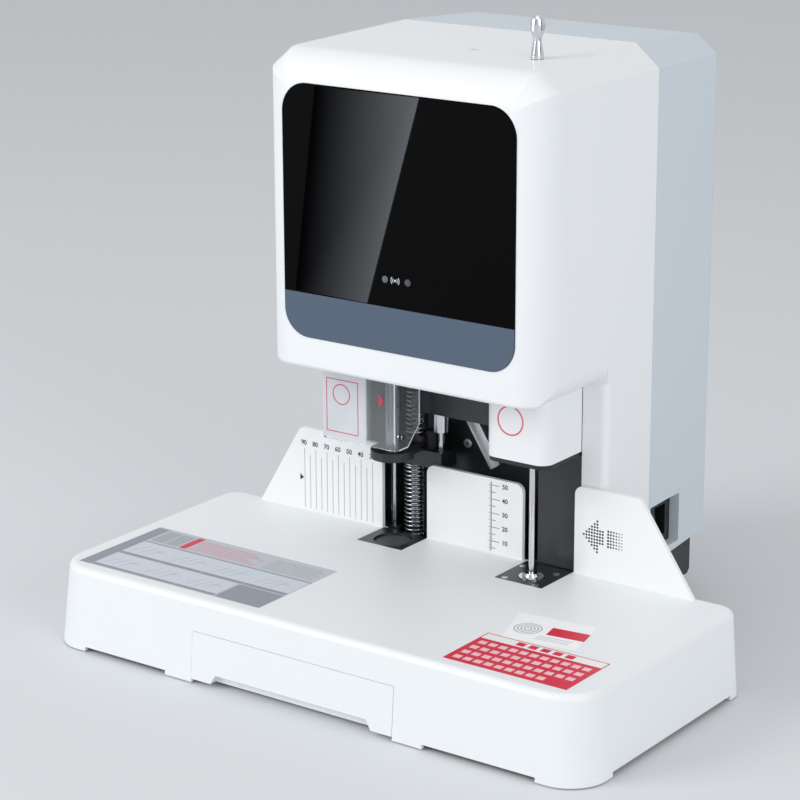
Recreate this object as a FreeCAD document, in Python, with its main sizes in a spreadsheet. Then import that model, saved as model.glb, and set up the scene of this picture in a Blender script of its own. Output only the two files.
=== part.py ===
import FreeCAD, Part
import math
import os
import Sketcher
from FreeCAD import Placement, Rotation, Vector

# Desk paper drill with a hollow drill on the left and a hot rivet press on the right.
# Millimetres. X runs to the right of a person at the machine, Y away from them, Z up.
# The origin lies under the middle of the machine, on the surface that it stands on.

doc = FreeCAD.newDocument("PaperDrill")
sheet = doc.addObject("Spreadsheet::Sheet", "Sizes")


class Size:
    """A length together with the sheet expression that it is worked out from."""

    def __init__(self, number, text):
        self.number = float(number)
        self.text = text

    def __add__(self, other):
        other = as_size(other)
        return Size(self.number + other.number, "(%s + %s)" % (self.text, other.text))

    def __sub__(self, other):
        other = as_size(other)
        return Size(self.number - other.number, "(%s - %s)" % (self.text, other.text))

    def __mul__(self, other):
        other = as_size(other)
        return Size(self.number * other.number, "(%s * %s)" % (self.text, other.text))

    def __truediv__(self, other):
        other = as_size(other)
        return Size(self.number / other.number, "(%s / %s)" % (self.text, other.text))

    def __neg__(self):
        return Size(-self.number, "(0 - %s)" % self.text)

    def __radd__(self, other):
        return as_size(other) + self

    def __rsub__(self, other):
        return as_size(other) - self

    def __rmul__(self, other):
        return as_size(other) * self


def as_size(value):
    """A plain number used once in a formula, such as a half or a sign."""
    if isinstance(value, Size):
        return value
    return Size(value, repr(float(value)) if value >= 0 else "(0 - %r)" % abs(float(value)))


sheet_rows = []


def size(alias, value):
    """Write one driving dimension into the sheet and return it."""
    sheet_rows.append(alias)
    row = len(sheet_rows)
    sheet.set("A%d" % row, alias)
    sheet.set("B%d" % row, repr(float(value)))
    sheet.setAlias("B%d" % row, alias)
    return Size(value, "Sizes." + alias)


# Gaps and walls that several pieces share
gap = size("FitGap", 0.3)
wall = size("ShellWall", 3.0)
sheet_metal = size("SheetMetal", 2.0)
plate_metal = size("PlateMetal", 4.0)

# Base and table
base_width = size("BaseWidth", 430.0)
base_front = size("BaseFrontReach", 167.5)
base_rear = size("BaseRearReach", 28.5)
base_draft = size("BaseDraftDegrees", 4.5)
base_skirt = size("BaseSkirtHeight", 4.0)
base_corner = size("BaseCornerRadius", 27.0)
base_rear_corner = size("BaseRearCornerRadius", 13.0)
base_round = size("BaseTopRadius", 4.5)
table_height = size("TableHeight", 58.0)
foot_height = size("FootHeight", 3.0)
foot_radius = size("FootRadius", 9.0)
foot_pocket = size("LobeLift", 1.0)
corner_lobe = size("CornerLobe", 34.0)
rear_lobe = size("RearLobe", 18.0)
drawer_lobe = size("DrawerLobe", 22.5)

# Chip drawer in the front of the base
drawer_width = size("DrawerWidth", 162.0)
drawer_centre = size("DrawerCentre", -6.0)
drawer_height = size("DrawerHeight", 32.0)
drawer_depth = size("DrawerDepth", 176.0)
drawer_wall = size("DrawerWall", 2.0)
notch_width = size("NotchWidth", 122.0)
notch_height = size("NotchHeight", 6.5)

# Head and column housings
head_width = size("HeadWidth", 220.0)
head_front = size("HeadFrontReach", 57.0)
head_bottom = size("HeadBottom", 191.0)
head_top = size("HeadTop", 405.3)
head_top_fall = size("HeadTopFall", 3.4)
head_corner = size("HeadCornerRadius", 22.0)
head_low_corner = size("HeadLowerCornerRadius", 14.0)
chamfer_wide = size("TopChamferWidth", 18.0)
chamfer_tall = size("TopChamferHeight", 15.0)
seam = size("SeamReach", 80.75)
rear_back = size("RearReach", 167.5)
rear_bottom = table_height - size("RearSkirt", 9.8)
rear_draft = size("RearDraftDegrees", 3.0)
rear_corner = size("RearCornerRadius", 5.0)
throat_left = size("ThroatLeft", 84.5)
column_corner = size("ColumnCornerRadius", 5.0)

# Display panel on the head
panel_width = size("PanelWidth", 182.0)
panel_bottom = size("PanelBottom", 213.0)
panel_height = size("PanelHeight", 169.0)
panel_corner = size("PanelCornerRadius", 19.0)
panel_thick = size("PanelThickness", 3.0)
panel_proud = size("PanelProud", 0.6)
stripe_height = size("StripeHeight", 30.0)

# Gauge plates on the table
gauge_plane = size("GaugePlane", 21.0)
gauge_thick = size("GaugeThickness", 3.0)
gauge_height = size("GaugeHeight", 61.4)
gauge_mid_height = size("MiddleGaugeHeight", 53.6)
gauge_top_round = size("GaugeCornerRadius", 6.0)
gauge_left_in = size("LeftGaugeInnerReach", 69.6)
gauge_mid_left = size("MiddleGaugeLeft", 31.5)
gauge_mid_right = size("MiddleGaugeRight", 47.3)
gauge_right_in = size("RightGaugeInnerReach", 88.5)
gauge_left_out = size("LeftGaugeReach", 178.5)
gauge_left_top = size("LeftGaugeTopReach", 141.5)
gauge_slant_right = size("RightGaugeReach", 180.0)
gauge_right_top = size("RightGaugeTopReach", 138.5)

# Stations: the drill on the left and the rivet press on the right
drill_x = size("DrillAxis", -49.5)
drill_y = size("DrillSetback", 5.5)
rivet_x = size("RivetAxis", 69.3)
rivet_y = size("RivetSetback", -1.25)
drill_plate_left = size("DrillPlateLeft", 69.3)
drill_plate_right = size("DrillPlateRight", 31.8)
drill_plate_front = size("DrillPlateFront", 9.25)
rivet_plate_left = size("RivetPlateLeft", 50.0)
rivet_plate_right = size("RivetPlateRight", 87.0)
rivet_plate_front = size("RivetPlateFront", 16.25)
bed_thick = size("BedThickness", 4.0)
station_deep = size("StationPlateThickness", 8.0)
bed_top = table_height - station_deep
bed_back = base_rear - wall * 2
column_face = gauge_plane + gauge_thick + gap

# Drilling parts
pad_radius = size("CuttingPadRadius", 13.1)
pad_sink = size("PadSink", 1.6)
bit_radius = size("BitRadius", 3.8)
bit_bore = size("BitBore", 2.7)
bit_tip = size("BitTip", 122.0)
drill_travel = bit_tip - table_height + pad_sink - gap
chuck_radius = size("ChuckRadius", 13.0)
chuck_bottom = size("ChuckBottom", 186.0)
chuck_height = size("ChuckHeight", 26.0)
spindle_radius = size("SpindleRadius", 7.0)
spindle_gap = size("SpindleClearance", 0.06)
spindle_top = size("SpindleTop", 352.0)
carriage_bottom = size("CarriageBottom", 225.0)
carriage_height = size("CarriageHeight", 36.0)
quill_radius = size("QuillRadius", 16.0)
quill_height = size("QuillHeight", 62.0)
motor_radius = size("MotorRadius", 20.0)
motor_height = size("MotorHeight", 58.0)
motor_x = size("MotorAxis", 4.0)
pulley_radius = size("PulleyRadius", 12.0)
pulley_height = size("PulleyHeight", 10.0)
belt_thick = size("BeltThickness", 1.6)

# Guide columns, presser foot and springs
column_back = size("ColumnBackset", 12.75)
left_spread = size("LeftColumnSpread", 18.9)
right_spread = size("RightColumnSpread", 21.0)
column_radius = size("ColumnRadius", 2.3)
rod_radius = size("SpringRodRadius", 4.0)
sleeve_radius = size("SleeveRadius", 5.4)
sleeve_bottom = size("SleeveBottom", 133.0)
column_top = size("ColumnTop", 392.0)
foot_plate_bottom = size("PresserBottom", 118.0)
foot_plate_thick = size("PresserThickness", 6.0)
foot_ring = size("PresserRingRadius", 15.0)
foot_hole = size("PresserHoleRadius", 7.0)
block_bottom = size("PresserBlockBottom", 108.0)
block_top = size("PresserBlockTop", 128.0)
block_left = size("PresserBlockLeft", 11.5)
block_right = size("PresserBlockRight", 27.5)
foot_bush = size("PresserBushRadius", 5.0)
foot_bush_height = size("PresserBushHeight", 4.0)
spring_radius = size("SpringRadius", 8.6)
spring_wire = size("SpringWire", 1.1)
buffer_radius = size("BufferRadius", 4.2)
buffer_height = size("BufferHeight", 12.5)
buffer_shift = size("BufferShift", 13.6)
column_y = gauge_plane + column_back

# Clear guard in front of the drill
guard_left = size("GuardLeft", 91.5)
guard_right = size("GuardRight", 28.5)
guard_front = size("GuardFront", 19.0)
guard_back = size("GuardBack", 8.6)
guard_bottom = size("GuardBottom", 131.0)
guard_top = size("GuardTop", 195.2)
guard_wall = size("GuardWall", 2.5)
guard_notch = size("GuardNotch", 14.0)
guard_screw_y = size("GuardScrewReach", 16.15)
guard_screw_z = size("GuardScrewHeight", 141.4)
guard_screw_step = size("GuardScrewStep", 4.4)
guard_screw_drop = size("GuardScrewDrop", 1.6)

# Rivet press parts
cover_left = rivet_x - size("RivetCoverLeftReach", 27.0)
cover_right = rivet_x + size("RivetCoverRightReach", 21.7)
throat_right = cover_right + gap
cover_front = size("RivetCoverFront", 19.0)
cover_bottom = size("RivetCoverBottom", 142.5)
cover_corner = size("RivetCoverRadius", 9.0)
cover_wall = size("RivetCoverWall", 2.5)
rim_thick = size("RimThickness", 3.0)
shroud_set = size("ShroudSet", 10.2)
screw_radius = size("PlateScrewRadius", 2.2)
screw_inset = size("PlateScrewInset", 5.2)
screw_pitch = size("PlateScrewPitch", 25.5)
die_radius = size("DieRadius", 8.4)
die_collar = size("DieCollarRadius", 5.0)
die_rise = size("DieRise", 2.6)
die_bore = size("DieBore", 2.3)
needle_radius = size("NeedleRadius", 1.9)
needle_bottom = table_height - size("NeedleDepth", 5.0)
needle_travel = size("NeedleTravel", 86.0)
ram_radius = size("RamRadius", 6.8)
ram_tip = size("RamTip", 141.0)
ram_travel = size("RamTravel", 78.0)
slider_bottom = size("RamSliderBottom", 222.0)
slider_height = size("RamSliderHeight", 40.0)
post_radius = size("RamPostRadius", 4.5)
post_spread = size("RamPostSpread", 17.0)
post_y = size("RamPostSetback", 35.75)
shelf_bottom = size("RamShelfBottom", 138.0)

# Knob on top of the needle, feed port beside it
knob_height = size("KnobHeight", 27.0)
knob_ball = size("KnobBallRadius", 5.2)
knob_foot = size("KnobFootRadius", 4.3)
knob_waist = size("KnobWaistRadius", 2.7)
bush_radius = size("NeedleBushRadius", 4.0)
port_x = size("FeedPortX", 16.5)
port_y = size("FeedPortY", 6.85)
port_radius = size("FeedPortRadius", 4.0)
port_tube = size("FeedTubeRadius", 3.0)

# Back frame, bracket and chute in the throat
frame_front = size("FrameFront", 52.75)
roof_reach = size("FrameRoofReach", 66.0)
bracket_front = size("BracketFront", 16.75)
bracket_bottom = size("BracketBottom", 150.0)
chute_x = size("ChuteFoot", 6.5)
chute_z = size("ChuteFootHeight", 109.5)
chute_width = size("ChuteWidth", 9.0)
chute_wall = size("ChuteWall", 1.2)
chute_length = size("ChuteLength", 44.0)
chute_tilt = size("ChuteTiltDegrees", 33.0)
frame_screw_x = size("FrameScrewX", -19.2)
frame_screw_z = size("FrameScrewZ", 121.0)
frame_screw_radius = size("FrameScrewRadius", 3.4)
frame_screw_rise = size("FrameScrewRise", 1.8)

# Rear chassis and power corner
chassis_half = size("ChassisHalfWidth", 102.5)
chassis_back = size("ChassisBack", 151.75)
chassis_low = size("ChassisTailBottom", 22.5)
chassis_heel = size("ChassisHeel", 92.75)
pan_half = size("PanHalfWidth", 203.0)
pan_front = size("PanFront", 153.15)
recess_front = size("RecessFront", 83.4)
recess_back = size("RecessBack", 124.25)
recess_bottom = table_height - size("RecessDrop", 2.5)
recess_top = table_height + size("RecessRise", 32.2)
recess_deep = size("RecessDepth", 9.0)
inlet_y = size("InletY", 107.65)
inlet_z = table_height + size("InletRise", 15.2)
inlet_wide = size("InletWidth", 17.0)
inlet_tall = size("InletHeight", 25.0)
inlet_deep = size("InletDepth", 20.0)
inlet_flange = size("InletFlange", 3.0)
pin_pitch = size("InletPinPitch", 7.0)
pin_offset = size("InletPinOffset", 2.2)
pin_thick = size("InletPinThickness", 2.0)
rocker_y = size("RockerY", 88.15)
rocker_pin_depth = size("RockerPinDepth", 3)
rocker_pin_radius = size("RockerPinRadius", 0.9)
rocker_wide = size("RockerWidth", 9.0)
rocker_tall = size("RockerHeight", 18.0)
rocker_swing = size("RockerSwingDegrees", 8.0)

doc.recompute()

subparts = []


def keep(thing, label):
    """Name a finished sub-part."""
    thing.Label = label
    subparts.append(thing)
    return thing


def bind(thing, path, value):
    thing.setExpression(path, as_size(value).text)


def place(thing, x, y, z):
    value = Vector(as_size(x).number, as_size(y).number, as_size(z).number)
    thing.Placement.Base = value
    bind(thing, "Placement.Base.x", x)
    bind(thing, "Placement.Base.y", y)
    bind(thing, "Placement.Base.z", z)


def block(name, low, high):
    """A box between two corners."""
    box = doc.addObject("Part::Box", name)
    bind(box, "Length", as_size(high[0]) - low[0])
    bind(box, "Width", as_size(high[1]) - low[1])
    bind(box, "Height", as_size(high[2]) - low[2])
    place(box, *low)
    return box


AXIS_TURN = {
    "x": Rotation(Vector(0, 1, 0), 90),
    "y": Rotation(Vector(1, 0, 0), -90),
    "z": Rotation(),
}


def rod(name, x, y, z, radius, length, axis="z"):
    """A round bar that starts at a point and runs along one axis."""
    bar = doc.addObject("Part::Cylinder", name)
    bar.Placement.Rotation = AXIS_TURN[axis]
    bind(bar, "Radius", radius)
    bind(bar, "Height", length)
    place(bar, x, y, z)
    return bar


def cone(name, x, y, z, low_radius, high_radius, length):
    shape = doc.addObject("Part::Cone", name)
    bind(shape, "Radius1", low_radius)
    bind(shape, "Radius2", high_radius)
    bind(shape, "Height", length)
    place(shape, x, y, z)
    return shape


def fuse(name, pieces):
    joined = doc.addObject("Part::MultiFuse", name)
    joined.Shapes = pieces
    joined.Refine = True
    return joined


def cut(name, whole, tools):
    """Take one tool, or several together, out of a piece."""
    tool = tools[0]
    if len(tools) > 1:
        tool = fuse(name + "_tools", tools)
    result = doc.addObject("Part::Cut", name)
    result.Base = whole
    result.Tool = tool
    result.Refine = True
    return result


def group(name, pieces):
    """Several loose solids that share one node."""
    bundle = doc.addObject("Part::Compound", name)
    bundle.Links = pieces
    return bundle


def tube(name, x, y, z, radius, bore, length, axis="z"):
    outer = rod(name + "_outer", x, y, z, radius, length, axis)
    inner = rod(name + "_bore", x, y, z, bore, length, axis)
    return cut(name, outer, [inner])


def new_body(name):
    return doc.addObject("PartDesign::Body", name)


def sketch_on(body, role, offset):
    """A sketch parallel to one origin plane of its body."""
    sketch = body.newObject("Sketcher::SketchObject", body.Name + "_sketch")
    for plane in body.Origin.OriginFeatures:
        if plane.Role == role:
            sketch.AttachmentSupport = [(plane, "")]
    sketch.MapMode = "FlatFace"
    sketch.AttachmentOffset = Placement(Vector(0, 0, as_size(offset).number), Rotation())
    bind(sketch, "AttachmentOffset.Base.z", offset)
    return sketch


def pin_point(sketch, geometry, vertex, x, y):
    """Tie one sketch point to its sheet place."""
    for kind, value in (("DistanceX", as_size(x)), ("DistanceY", as_size(y))):
        index = sketch.addConstraint(
            Sketcher.Constraint(kind, -1, 1, geometry, vertex, value.number))
        sketch.setExpression("Constraints[%d]" % index, value.text)


def draw_outline(sketch, points):
    """A closed outline of straight lines."""
    first = sketch.GeometryCount
    corners = [Vector(as_size(x).number, as_size(y).number, 0) for x, y in points]
    count = len(corners)
    for index in range(count):
        line = Part.LineSegment(corners[index], corners[(index + 1) % count])
        sketch.addGeometry(line, False)
    for index in range(count):
        following = first + (index + 1) % count
        sketch.addConstraint(
            Sketcher.Constraint("Coincident", first + index, 2, following, 1))
    for index, (x, y) in enumerate(points):
        pin_point(sketch, first + index, 1, x, y)


def draw_box(sketch, low, high):
    draw_outline(sketch, [(low[0], low[1]), (high[0], low[1]),
                          (high[0], high[1]), (low[0], high[1])])


def draw_circle(sketch, x, y, radius):
    index = sketch.addGeometry(
        Part.Circle(Vector(as_size(x).number, as_size(y).number, 0),
                    Vector(0, 0, 1), radius.number), False)
    pin_point(sketch, index, 3, x, y)
    bound = sketch.addConstraint(Sketcher.Constraint("Radius", index, radius.number))
    sketch.setExpression("Constraints[%d]" % bound, radius.text)


def pad(body, sketch, length, reverse=False, taper=None):
    feature = body.newObject("PartDesign::Pad", body.Name + "_pad")
    feature.Profile = sketch
    bind(feature, "Length", length)
    feature.Reversed = reverse
    if taper is not None:
        bind(feature, "TaperAngle", taper)
    doc.recompute()
    return feature


def pocket(body, sketch, length, reverse=False, taper=None):
    """Cut a profile into the body; the cut has to take something away."""
    before = body.Shape.Volume
    feature = body.newObject("PartDesign::Pocket", body.Name + "_pocket")
    feature.Profile = sketch
    bind(feature, "Length", length)
    feature.Reversed = reverse
    if taper is not None:
        bind(feature, "TaperAngle", taper)
    doc.recompute()
    if body.Shape.Volume > before - 0.001:
        raise ValueError("a pocket of %s cuts nothing" % body.Name)
    return feature


def edges_where(shape, test):
    names = []
    for index, edge in enumerate(shape.Edges):
        middle = edge.valueAt((edge.FirstParameter + edge.LastParameter) / 2)
        if test(edge, middle):
            names.append("Edge%d" % (index + 1))
    return names


def round_edges(body, test, radius):
    names = edges_where(body.Shape, test)
    if not names:
        raise ValueError("no edge of %s to round" % body.Name)
    solid = body.Tip
    feature = body.newObject("PartDesign::Fillet", body.Name + "_round")
    feature.Base = (solid, names)
    bind(feature, "Radius", radius)
    doc.recompute()
    if "Invalid" in feature.State:
        raise ValueError("a rounding of %s failed" % body.Name)
    return feature


def is_upright(edge):
    """A straight edge that stands along Z, or nearly so on a drafted wall."""
    start, end = edge.firstVertex().Point, edge.lastVertex().Point
    run = math.hypot(end.x - start.x, end.y - start.y)
    return abs(end.z - start.z) > 5 * run and abs(end.z - start.z) > 0.5


def along_depth(edge):
    """A straight edge that runs along Y."""
    start, end = edge.firstVertex().Point, edge.lastVertex().Point
    side = math.hypot(end.x - start.x, end.z - start.z)
    return abs(end.y - start.y) > 20 * side and abs(end.y - start.y) > 0.1


near = 0.6


# Base: a drafted moulded cover over a steel pan, with lobes that reach down round the feet

def base_block(name, inset, low_z, high_z, corner_in):
    """The drafted outside of the base, or its hollow when it is drawn in by an inset."""
    body = new_body(name)
    outline = sketch_on(body, "XY_Plane", low_z)
    half = base_width / 2 - inset
    draw_box(outline, (-half, -base_front + inset), (half, base_rear + base_corner))
    pad(body, outline, high_z - low_z, taper=-base_draft)
    # The rear wall is upright, because the column stands against it
    trim = sketch_on(body, "XY_Plane", low_z)
    draw_box(trim, (-base_width, base_rear - inset), (base_width, base_rear + base_corner * 2))
    pocket(body, trim, high_z - low_z, reverse=True)

    def front_corner(edge, middle):
        return is_upright(edge) and middle.y < 0

    def rear_corner(edge, middle):
        return is_upright(edge) and middle.y > 0

    round_edges(body, front_corner, base_corner - corner_in)
    round_edges(body, rear_corner, base_rear_corner - corner_in)
    return body


def make_base_cover():
    """Moulded cover: a hollow shell with lobes round the feet and windows for the stations."""
    outside = base_block("base_outside", as_size(0), foot_pocket, table_height, as_size(0))

    def top_rim(edge, middle):
        return abs(middle.z - table_height.number) < near

    round_edges(outside, top_rim, base_round)
    inside = base_block("base_inside", wall, foot_pocket - wall, table_height - wall, wall)
    half = base_width / 2
    mouth_low = drawer_centre - drawer_width / 2 - gap
    mouth_high = drawer_centre + drawer_width / 2 + gap
    front = -base_front - wall
    skin = -base_front + wall * 4
    lobe = half - corner_lobe
    side_low = -base_front + corner_lobe
    side_high = base_rear - rear_lobe
    back = base_rear + wall
    spring_reach = spring_radius + wall
    tools = [
        block("left_front_notch", (-lobe, front, 0), (mouth_low - drawer_lobe, skin, base_skirt)),
        block("right_front_notch", (mouth_high + drawer_lobe, front, 0),
              (lobe, skin, base_skirt)),
        block("left_side_notch", (-half - wall, side_low, 0),
              (-half + wall * 4, side_high, base_skirt)),
        block("right_side_notch", (half - wall * 4, side_low, 0),
              (half + wall, side_high, base_skirt)),
        block("rear_notch", (-lobe, bed_back, 0), (lobe, back, base_skirt)),
        block("pan_passage", (-chassis_half - gap, bed_back, 0),
              (chassis_half + gap, back, foot_height + sheet_metal + gap)),
        block("drawer_mouth", (mouth_low, front, 0),
              (mouth_high, skin, base_skirt + drawer_height + gap)),
        block("drill_window", (-drill_plate_left - gap, -drill_plate_front - gap, bed_top),
              (-drill_plate_right + gap, back, table_height + wall)),
        block("rivet_window", (rivet_plate_left - gap, -rivet_plate_front - gap, bed_top),
              (rivet_plate_right + gap, back, table_height + wall)),
        block("block_window", (-drill_plate_right - gap, column_face, bed_top),
              (drill_x + block_right + gap * 2, back, table_height + wall)),
        block("spring_window", (drill_x - spring_reach, bed_back, 0),
              (drill_x + spring_reach, back, bed_top + wall)),
    ]
    shell = cut("base_shell", outside, [inside])
    return keep(cut("base_cover", shell, tools), "base_cover")


def make_chassis():
    """Folded steel pan under the base with the box that carries the column."""
    pan = block("pan", (-pan_half, -pan_front, foot_height),
                (pan_half, bed_back, foot_height + sheet_metal))
    body = new_body("tail_box")
    side = sketch_on(body, "YZ_Plane", -chassis_half)
    top = table_height - gap
    start = base_rear + gap
    tail_top = recess_bottom - sheet_metal - gap
    draw_outline(side, [
        (bed_back, foot_height), (chassis_heel, foot_height),
        (chassis_heel + wall * 3, chassis_low), (chassis_back - wall, chassis_low),
        (chassis_back, chassis_low + wall), (chassis_back, tail_top), (seam, tail_top),
        (seam, top), (start, top), (start, foot_height + sheet_metal),
        (bed_back, foot_height + sheet_metal)])
    pad(body, side, chassis_half * 2)
    hollow = sketch_on(body, "YZ_Plane", -chassis_half + sheet_metal)
    draw_outline(hollow, [
        (start + sheet_metal, foot_height + sheet_metal),
        (chassis_heel - sheet_metal, foot_height + sheet_metal),
        (chassis_heel + wall * 3 - sheet_metal, chassis_low + sheet_metal),
        (chassis_back - sheet_metal * 2, chassis_low + sheet_metal),
        (chassis_back - sheet_metal * 2, tail_top - sheet_metal),
        (seam - sheet_metal, tail_top - sheet_metal), (seam - sheet_metal, top - sheet_metal),
        (start + sheet_metal, top - sheet_metal)])
    pocket(body, hollow, (chassis_half - sheet_metal) * 2, reverse=True)
    floor = foot_height + sheet_metal
    whole = fuse("chassis_whole", [pan, body])
    tools = [
        rod("spring_well", drill_x, column_y, floor, spring_radius + gap * 3, table_height),
        rod("left_well", drill_x - left_spread, column_y, floor, column_radius + gap,
            table_height),
        block("presser_well",
              (drill_x - block_left - gap * 2, start - gap, bed_top - wall * 2),
              (drill_x + block_right + gap * 2, column_y + spring_radius + gap * 3,
               table_height)),
    ]
    return keep(cut("chassis", whole, tools), "chassis")


def make_feet():
    """Six rubber pads that the machine stands on."""
    pads = []
    inset = foot_radius * 2.2
    places = []
    for side in (-1, 1):
        x = (pan_half - inset) * side
        places.append((x, -pan_front + inset))
        places.append((x, base_rear - wall * 2 - inset))
        places.append(((chassis_half - inset) * side, chassis_heel - foot_radius * 1.2))
    for index, (x, y) in enumerate(places):
        pads.append(rod("foot_pad_%d" % index, x, y, 0, foot_radius, foot_height))
    return keep(group("rubber_feet", pads), "rubber_feet")


def make_bed_frame():
    """Bent steel bridge over the drawer that takes the drilling and pressing load."""
    body = new_body("bed_frame")
    section = sketch_on(body, "XZ_Plane", -bed_back)
    half = drawer_width / 2 + drawer_wall * 4
    low_x = drawer_centre - half
    high_x = drawer_centre + half + bed_thick * 3
    floor = foot_height + sheet_metal
    draw_outline(section, [
        (low_x, floor), (low_x + bed_thick, floor), (low_x + bed_thick, bed_top - bed_thick),
        (high_x - bed_thick, bed_top - bed_thick), (high_x - bed_thick, floor),
        (high_x, floor), (high_x, bed_top), (low_x, bed_top)])
    pad(body, section, bed_back + rivet_plate_front + wall)
    return keep(body, "bed_frame")


def make_drawer_rails():
    """Two folded rails that the drawer slides between."""
    floor = foot_height + sheet_metal
    rails = []
    for name, side in (("left_rail", -1), ("right_rail", 1)):
        near_x = drawer_centre + (drawer_width / 2 - drawer_wall * 2 + gap) * side
        far_x = near_x + sheet_metal * side
        low, high = (near_x, far_x) if side > 0 else (far_x, near_x)
        rails.append(block(name, (low, -pan_front + wall * 3, floor),
                           (high, base_rear - wall * 5, floor + drawer_height / 3)))
    return keep(group("drawer_rails", rails), "drawer_rails")


def make_drawer():
    """Chip drawer: an open tray behind a front panel with a finger notch."""
    body = new_body("chip_drawer")
    floor = foot_height + sheet_metal + gap
    tray = sketch_on(body, "XY_Plane", floor)
    half = drawer_width / 2 - drawer_wall * 2
    front = -base_front + wall * 4
    back = -base_front + drawer_depth
    draw_box(tray, (drawer_centre - half, front), (drawer_centre + half, back))
    tray_height = drawer_height - drawer_wall * 2
    pad(body, tray, tray_height)

    def back_corner(edge, middle):
        return is_upright(edge) and middle.y > 0

    round_edges(body, back_corner, wall * 2)
    inside = sketch_on(body, "XY_Plane", floor + tray_height)
    draw_box(inside, (drawer_centre - half + drawer_wall, front - wall),
             (drawer_centre + half - drawer_wall, back - drawer_wall))
    pocket(body, inside, tray_height - drawer_wall)
    # The front leans back with the draft of the base
    face = sketch_on(body, "YZ_Plane", drawer_centre - drawer_width / 2)
    lean = math.tan(math.radians(base_draft.number))
    top = base_skirt + drawer_height
    low = base_skirt - foot_pocket / 2
    draw_outline(face, [
        (-base_front, low), (front + drawer_wall, low), (front + drawer_wall, top),
        (-base_front + (top - low) * lean, top)])
    pad(body, face, drawer_width)
    notch = sketch_on(body, "XZ_Plane", base_front + wall)
    middle = drawer_centre
    draw_outline(notch, [
        (middle - notch_width / 2 - wall * 2, 0), (middle + notch_width / 2 + wall * 2, 0),
        (middle + notch_width / 2, low + notch_height),
        (middle - notch_width / 2, low + notch_height)])
    pocket(body, notch, wall * 3)
    return keep(body, "chip_drawer")


# Gauge plates: folded white sheet that the paper edge is pushed against

def make_gauge(label, points, rounded):
    body = new_body(label)
    face = sketch_on(body, "XZ_Plane", -gauge_plane - gauge_thick)
    draw_outline(face, points)
    pad(body, face, gauge_thick)

    def top_corner(edge, middle):
        return along_depth(edge) and any(
            abs(middle.x - x.number) < near and abs(middle.z - z.number) < near
            for x, z in rounded)

    round_edges(body, top_corner, gauge_top_round)
    return keep(body, label)


def make_gauges():
    foot = table_height
    top = table_height + gauge_height
    make_gauge("left_gauge", [
        (-gauge_left_out, foot), (-gauge_left_in, foot), (-gauge_left_in, top),
        (-gauge_left_top, top)], [(-gauge_left_top, top), (-gauge_left_in, top)])
    mid_top = table_height + gauge_mid_height
    make_gauge("centre_gauge", [
        (-gauge_mid_left, foot), (gauge_mid_right, foot), (gauge_mid_right, mid_top),
        (-gauge_mid_left, mid_top)],
        [(gauge_mid_right, mid_top), (-gauge_mid_left, mid_top)])
    make_gauge("right_gauge", [
        (gauge_right_in, foot), (gauge_slant_right, foot), (gauge_right_top, top),
        (gauge_right_in, top)], [(gauge_right_in, top), (gauge_right_top, top)])


# Stations on the table

def make_drill_plate():
    plate = block("drill_plate_blank", (-drill_plate_left, -drill_plate_front, bed_top),
                  (-drill_plate_right, bed_back, table_height))
    seat = rod("pad_seat", drill_x, drill_y, bed_top, pad_radius + gap, table_height)
    return keep(cut("drill_plate", plate, [seat]), "drill_plate")


def make_pad():
    """Nylon cutting disc in the plate; it turns and lifts out when it is worn."""
    disc = rod("cutting_pad", drill_x, drill_y, bed_top, pad_radius,
               table_height - bed_top - pad_sink)
    return keep(disc, "cutting_pad")


def make_rivet_plate():
    plate = block("rivet_plate_blank", (rivet_plate_left, -rivet_plate_front, bed_top),
                  (rivet_plate_right, bed_back, table_height))
    seat = rod("die_seat", rivet_x, rivet_y, bed_top, die_radius + gap, table_height)
    return keep(cut("rivet_plate", plate, [seat]), "rivet_plate")


def make_lower_die():
    """Heated lower die: a chrome flange and a collar with the bore for the needle."""
    thick = table_height - bed_top
    flange = rod("die_flange", rivet_x, rivet_y, bed_top, die_radius, thick + gap * 2)
    collar = cone("die_collar", rivet_x, rivet_y, table_height, die_collar,
                  die_collar - gap * 4, die_rise)
    bore = rod("die_bore", rivet_x, rivet_y, bed_top, die_bore, table_height)
    return keep(cut("lower_die", fuse("die_solid", [flange, collar]), [bore]), "lower_die")


def make_screws():
    """Countersunk screws that hold the rivet plate, one near each corner."""
    heads = []
    side = screw_inset * 1.2
    front = -rivet_plate_front + screw_inset * 0.5
    back = front + screw_pitch
    for index, (x, y) in enumerate((
            (rivet_plate_left + side, front), (rivet_plate_right - side, front),
            (rivet_plate_right - side, back), (rivet_plate_left + side * 0.6, back))):
        heads.append(rod("rivet_screw_%d" % index, x, y, table_height, screw_radius, gap))
    return keep(group("plate_screws", heads), "plate_screws")


# Housings of the head and column

def chamfered_outline(half, top, bottom):
    return [(-half, bottom), (half, bottom), (half, top - chamfer_tall),
            (half - chamfer_wide, top), (-half + chamfer_wide, top),
            (-half, top - chamfer_tall)]


def lower_corners(name, half, low_z, radius, front, back):
    """What is taken off the two lower corners of the head to round them in the front view."""
    tools = []
    for label, side in (("left", -1), ("right", 1)):
        inner_x = (half - radius) * side
        outer_x = (half + wall) * side
        low, high = (inner_x, outer_x) if side > 0 else (outer_x, inner_x)
        corner = block("%s_%s_block" % (name, label), (low, front, low_z - wall),
                       (high, back, low_z + radius))
        rounding = rod("%s_%s_rod" % (name, label), inner_x, front - wall, low_z + radius,
                       radius, back - front + wall * 2, "y")
        tools.append(cut("%s_%s" % (name, label), corner, [rounding]))
    return tools


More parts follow.
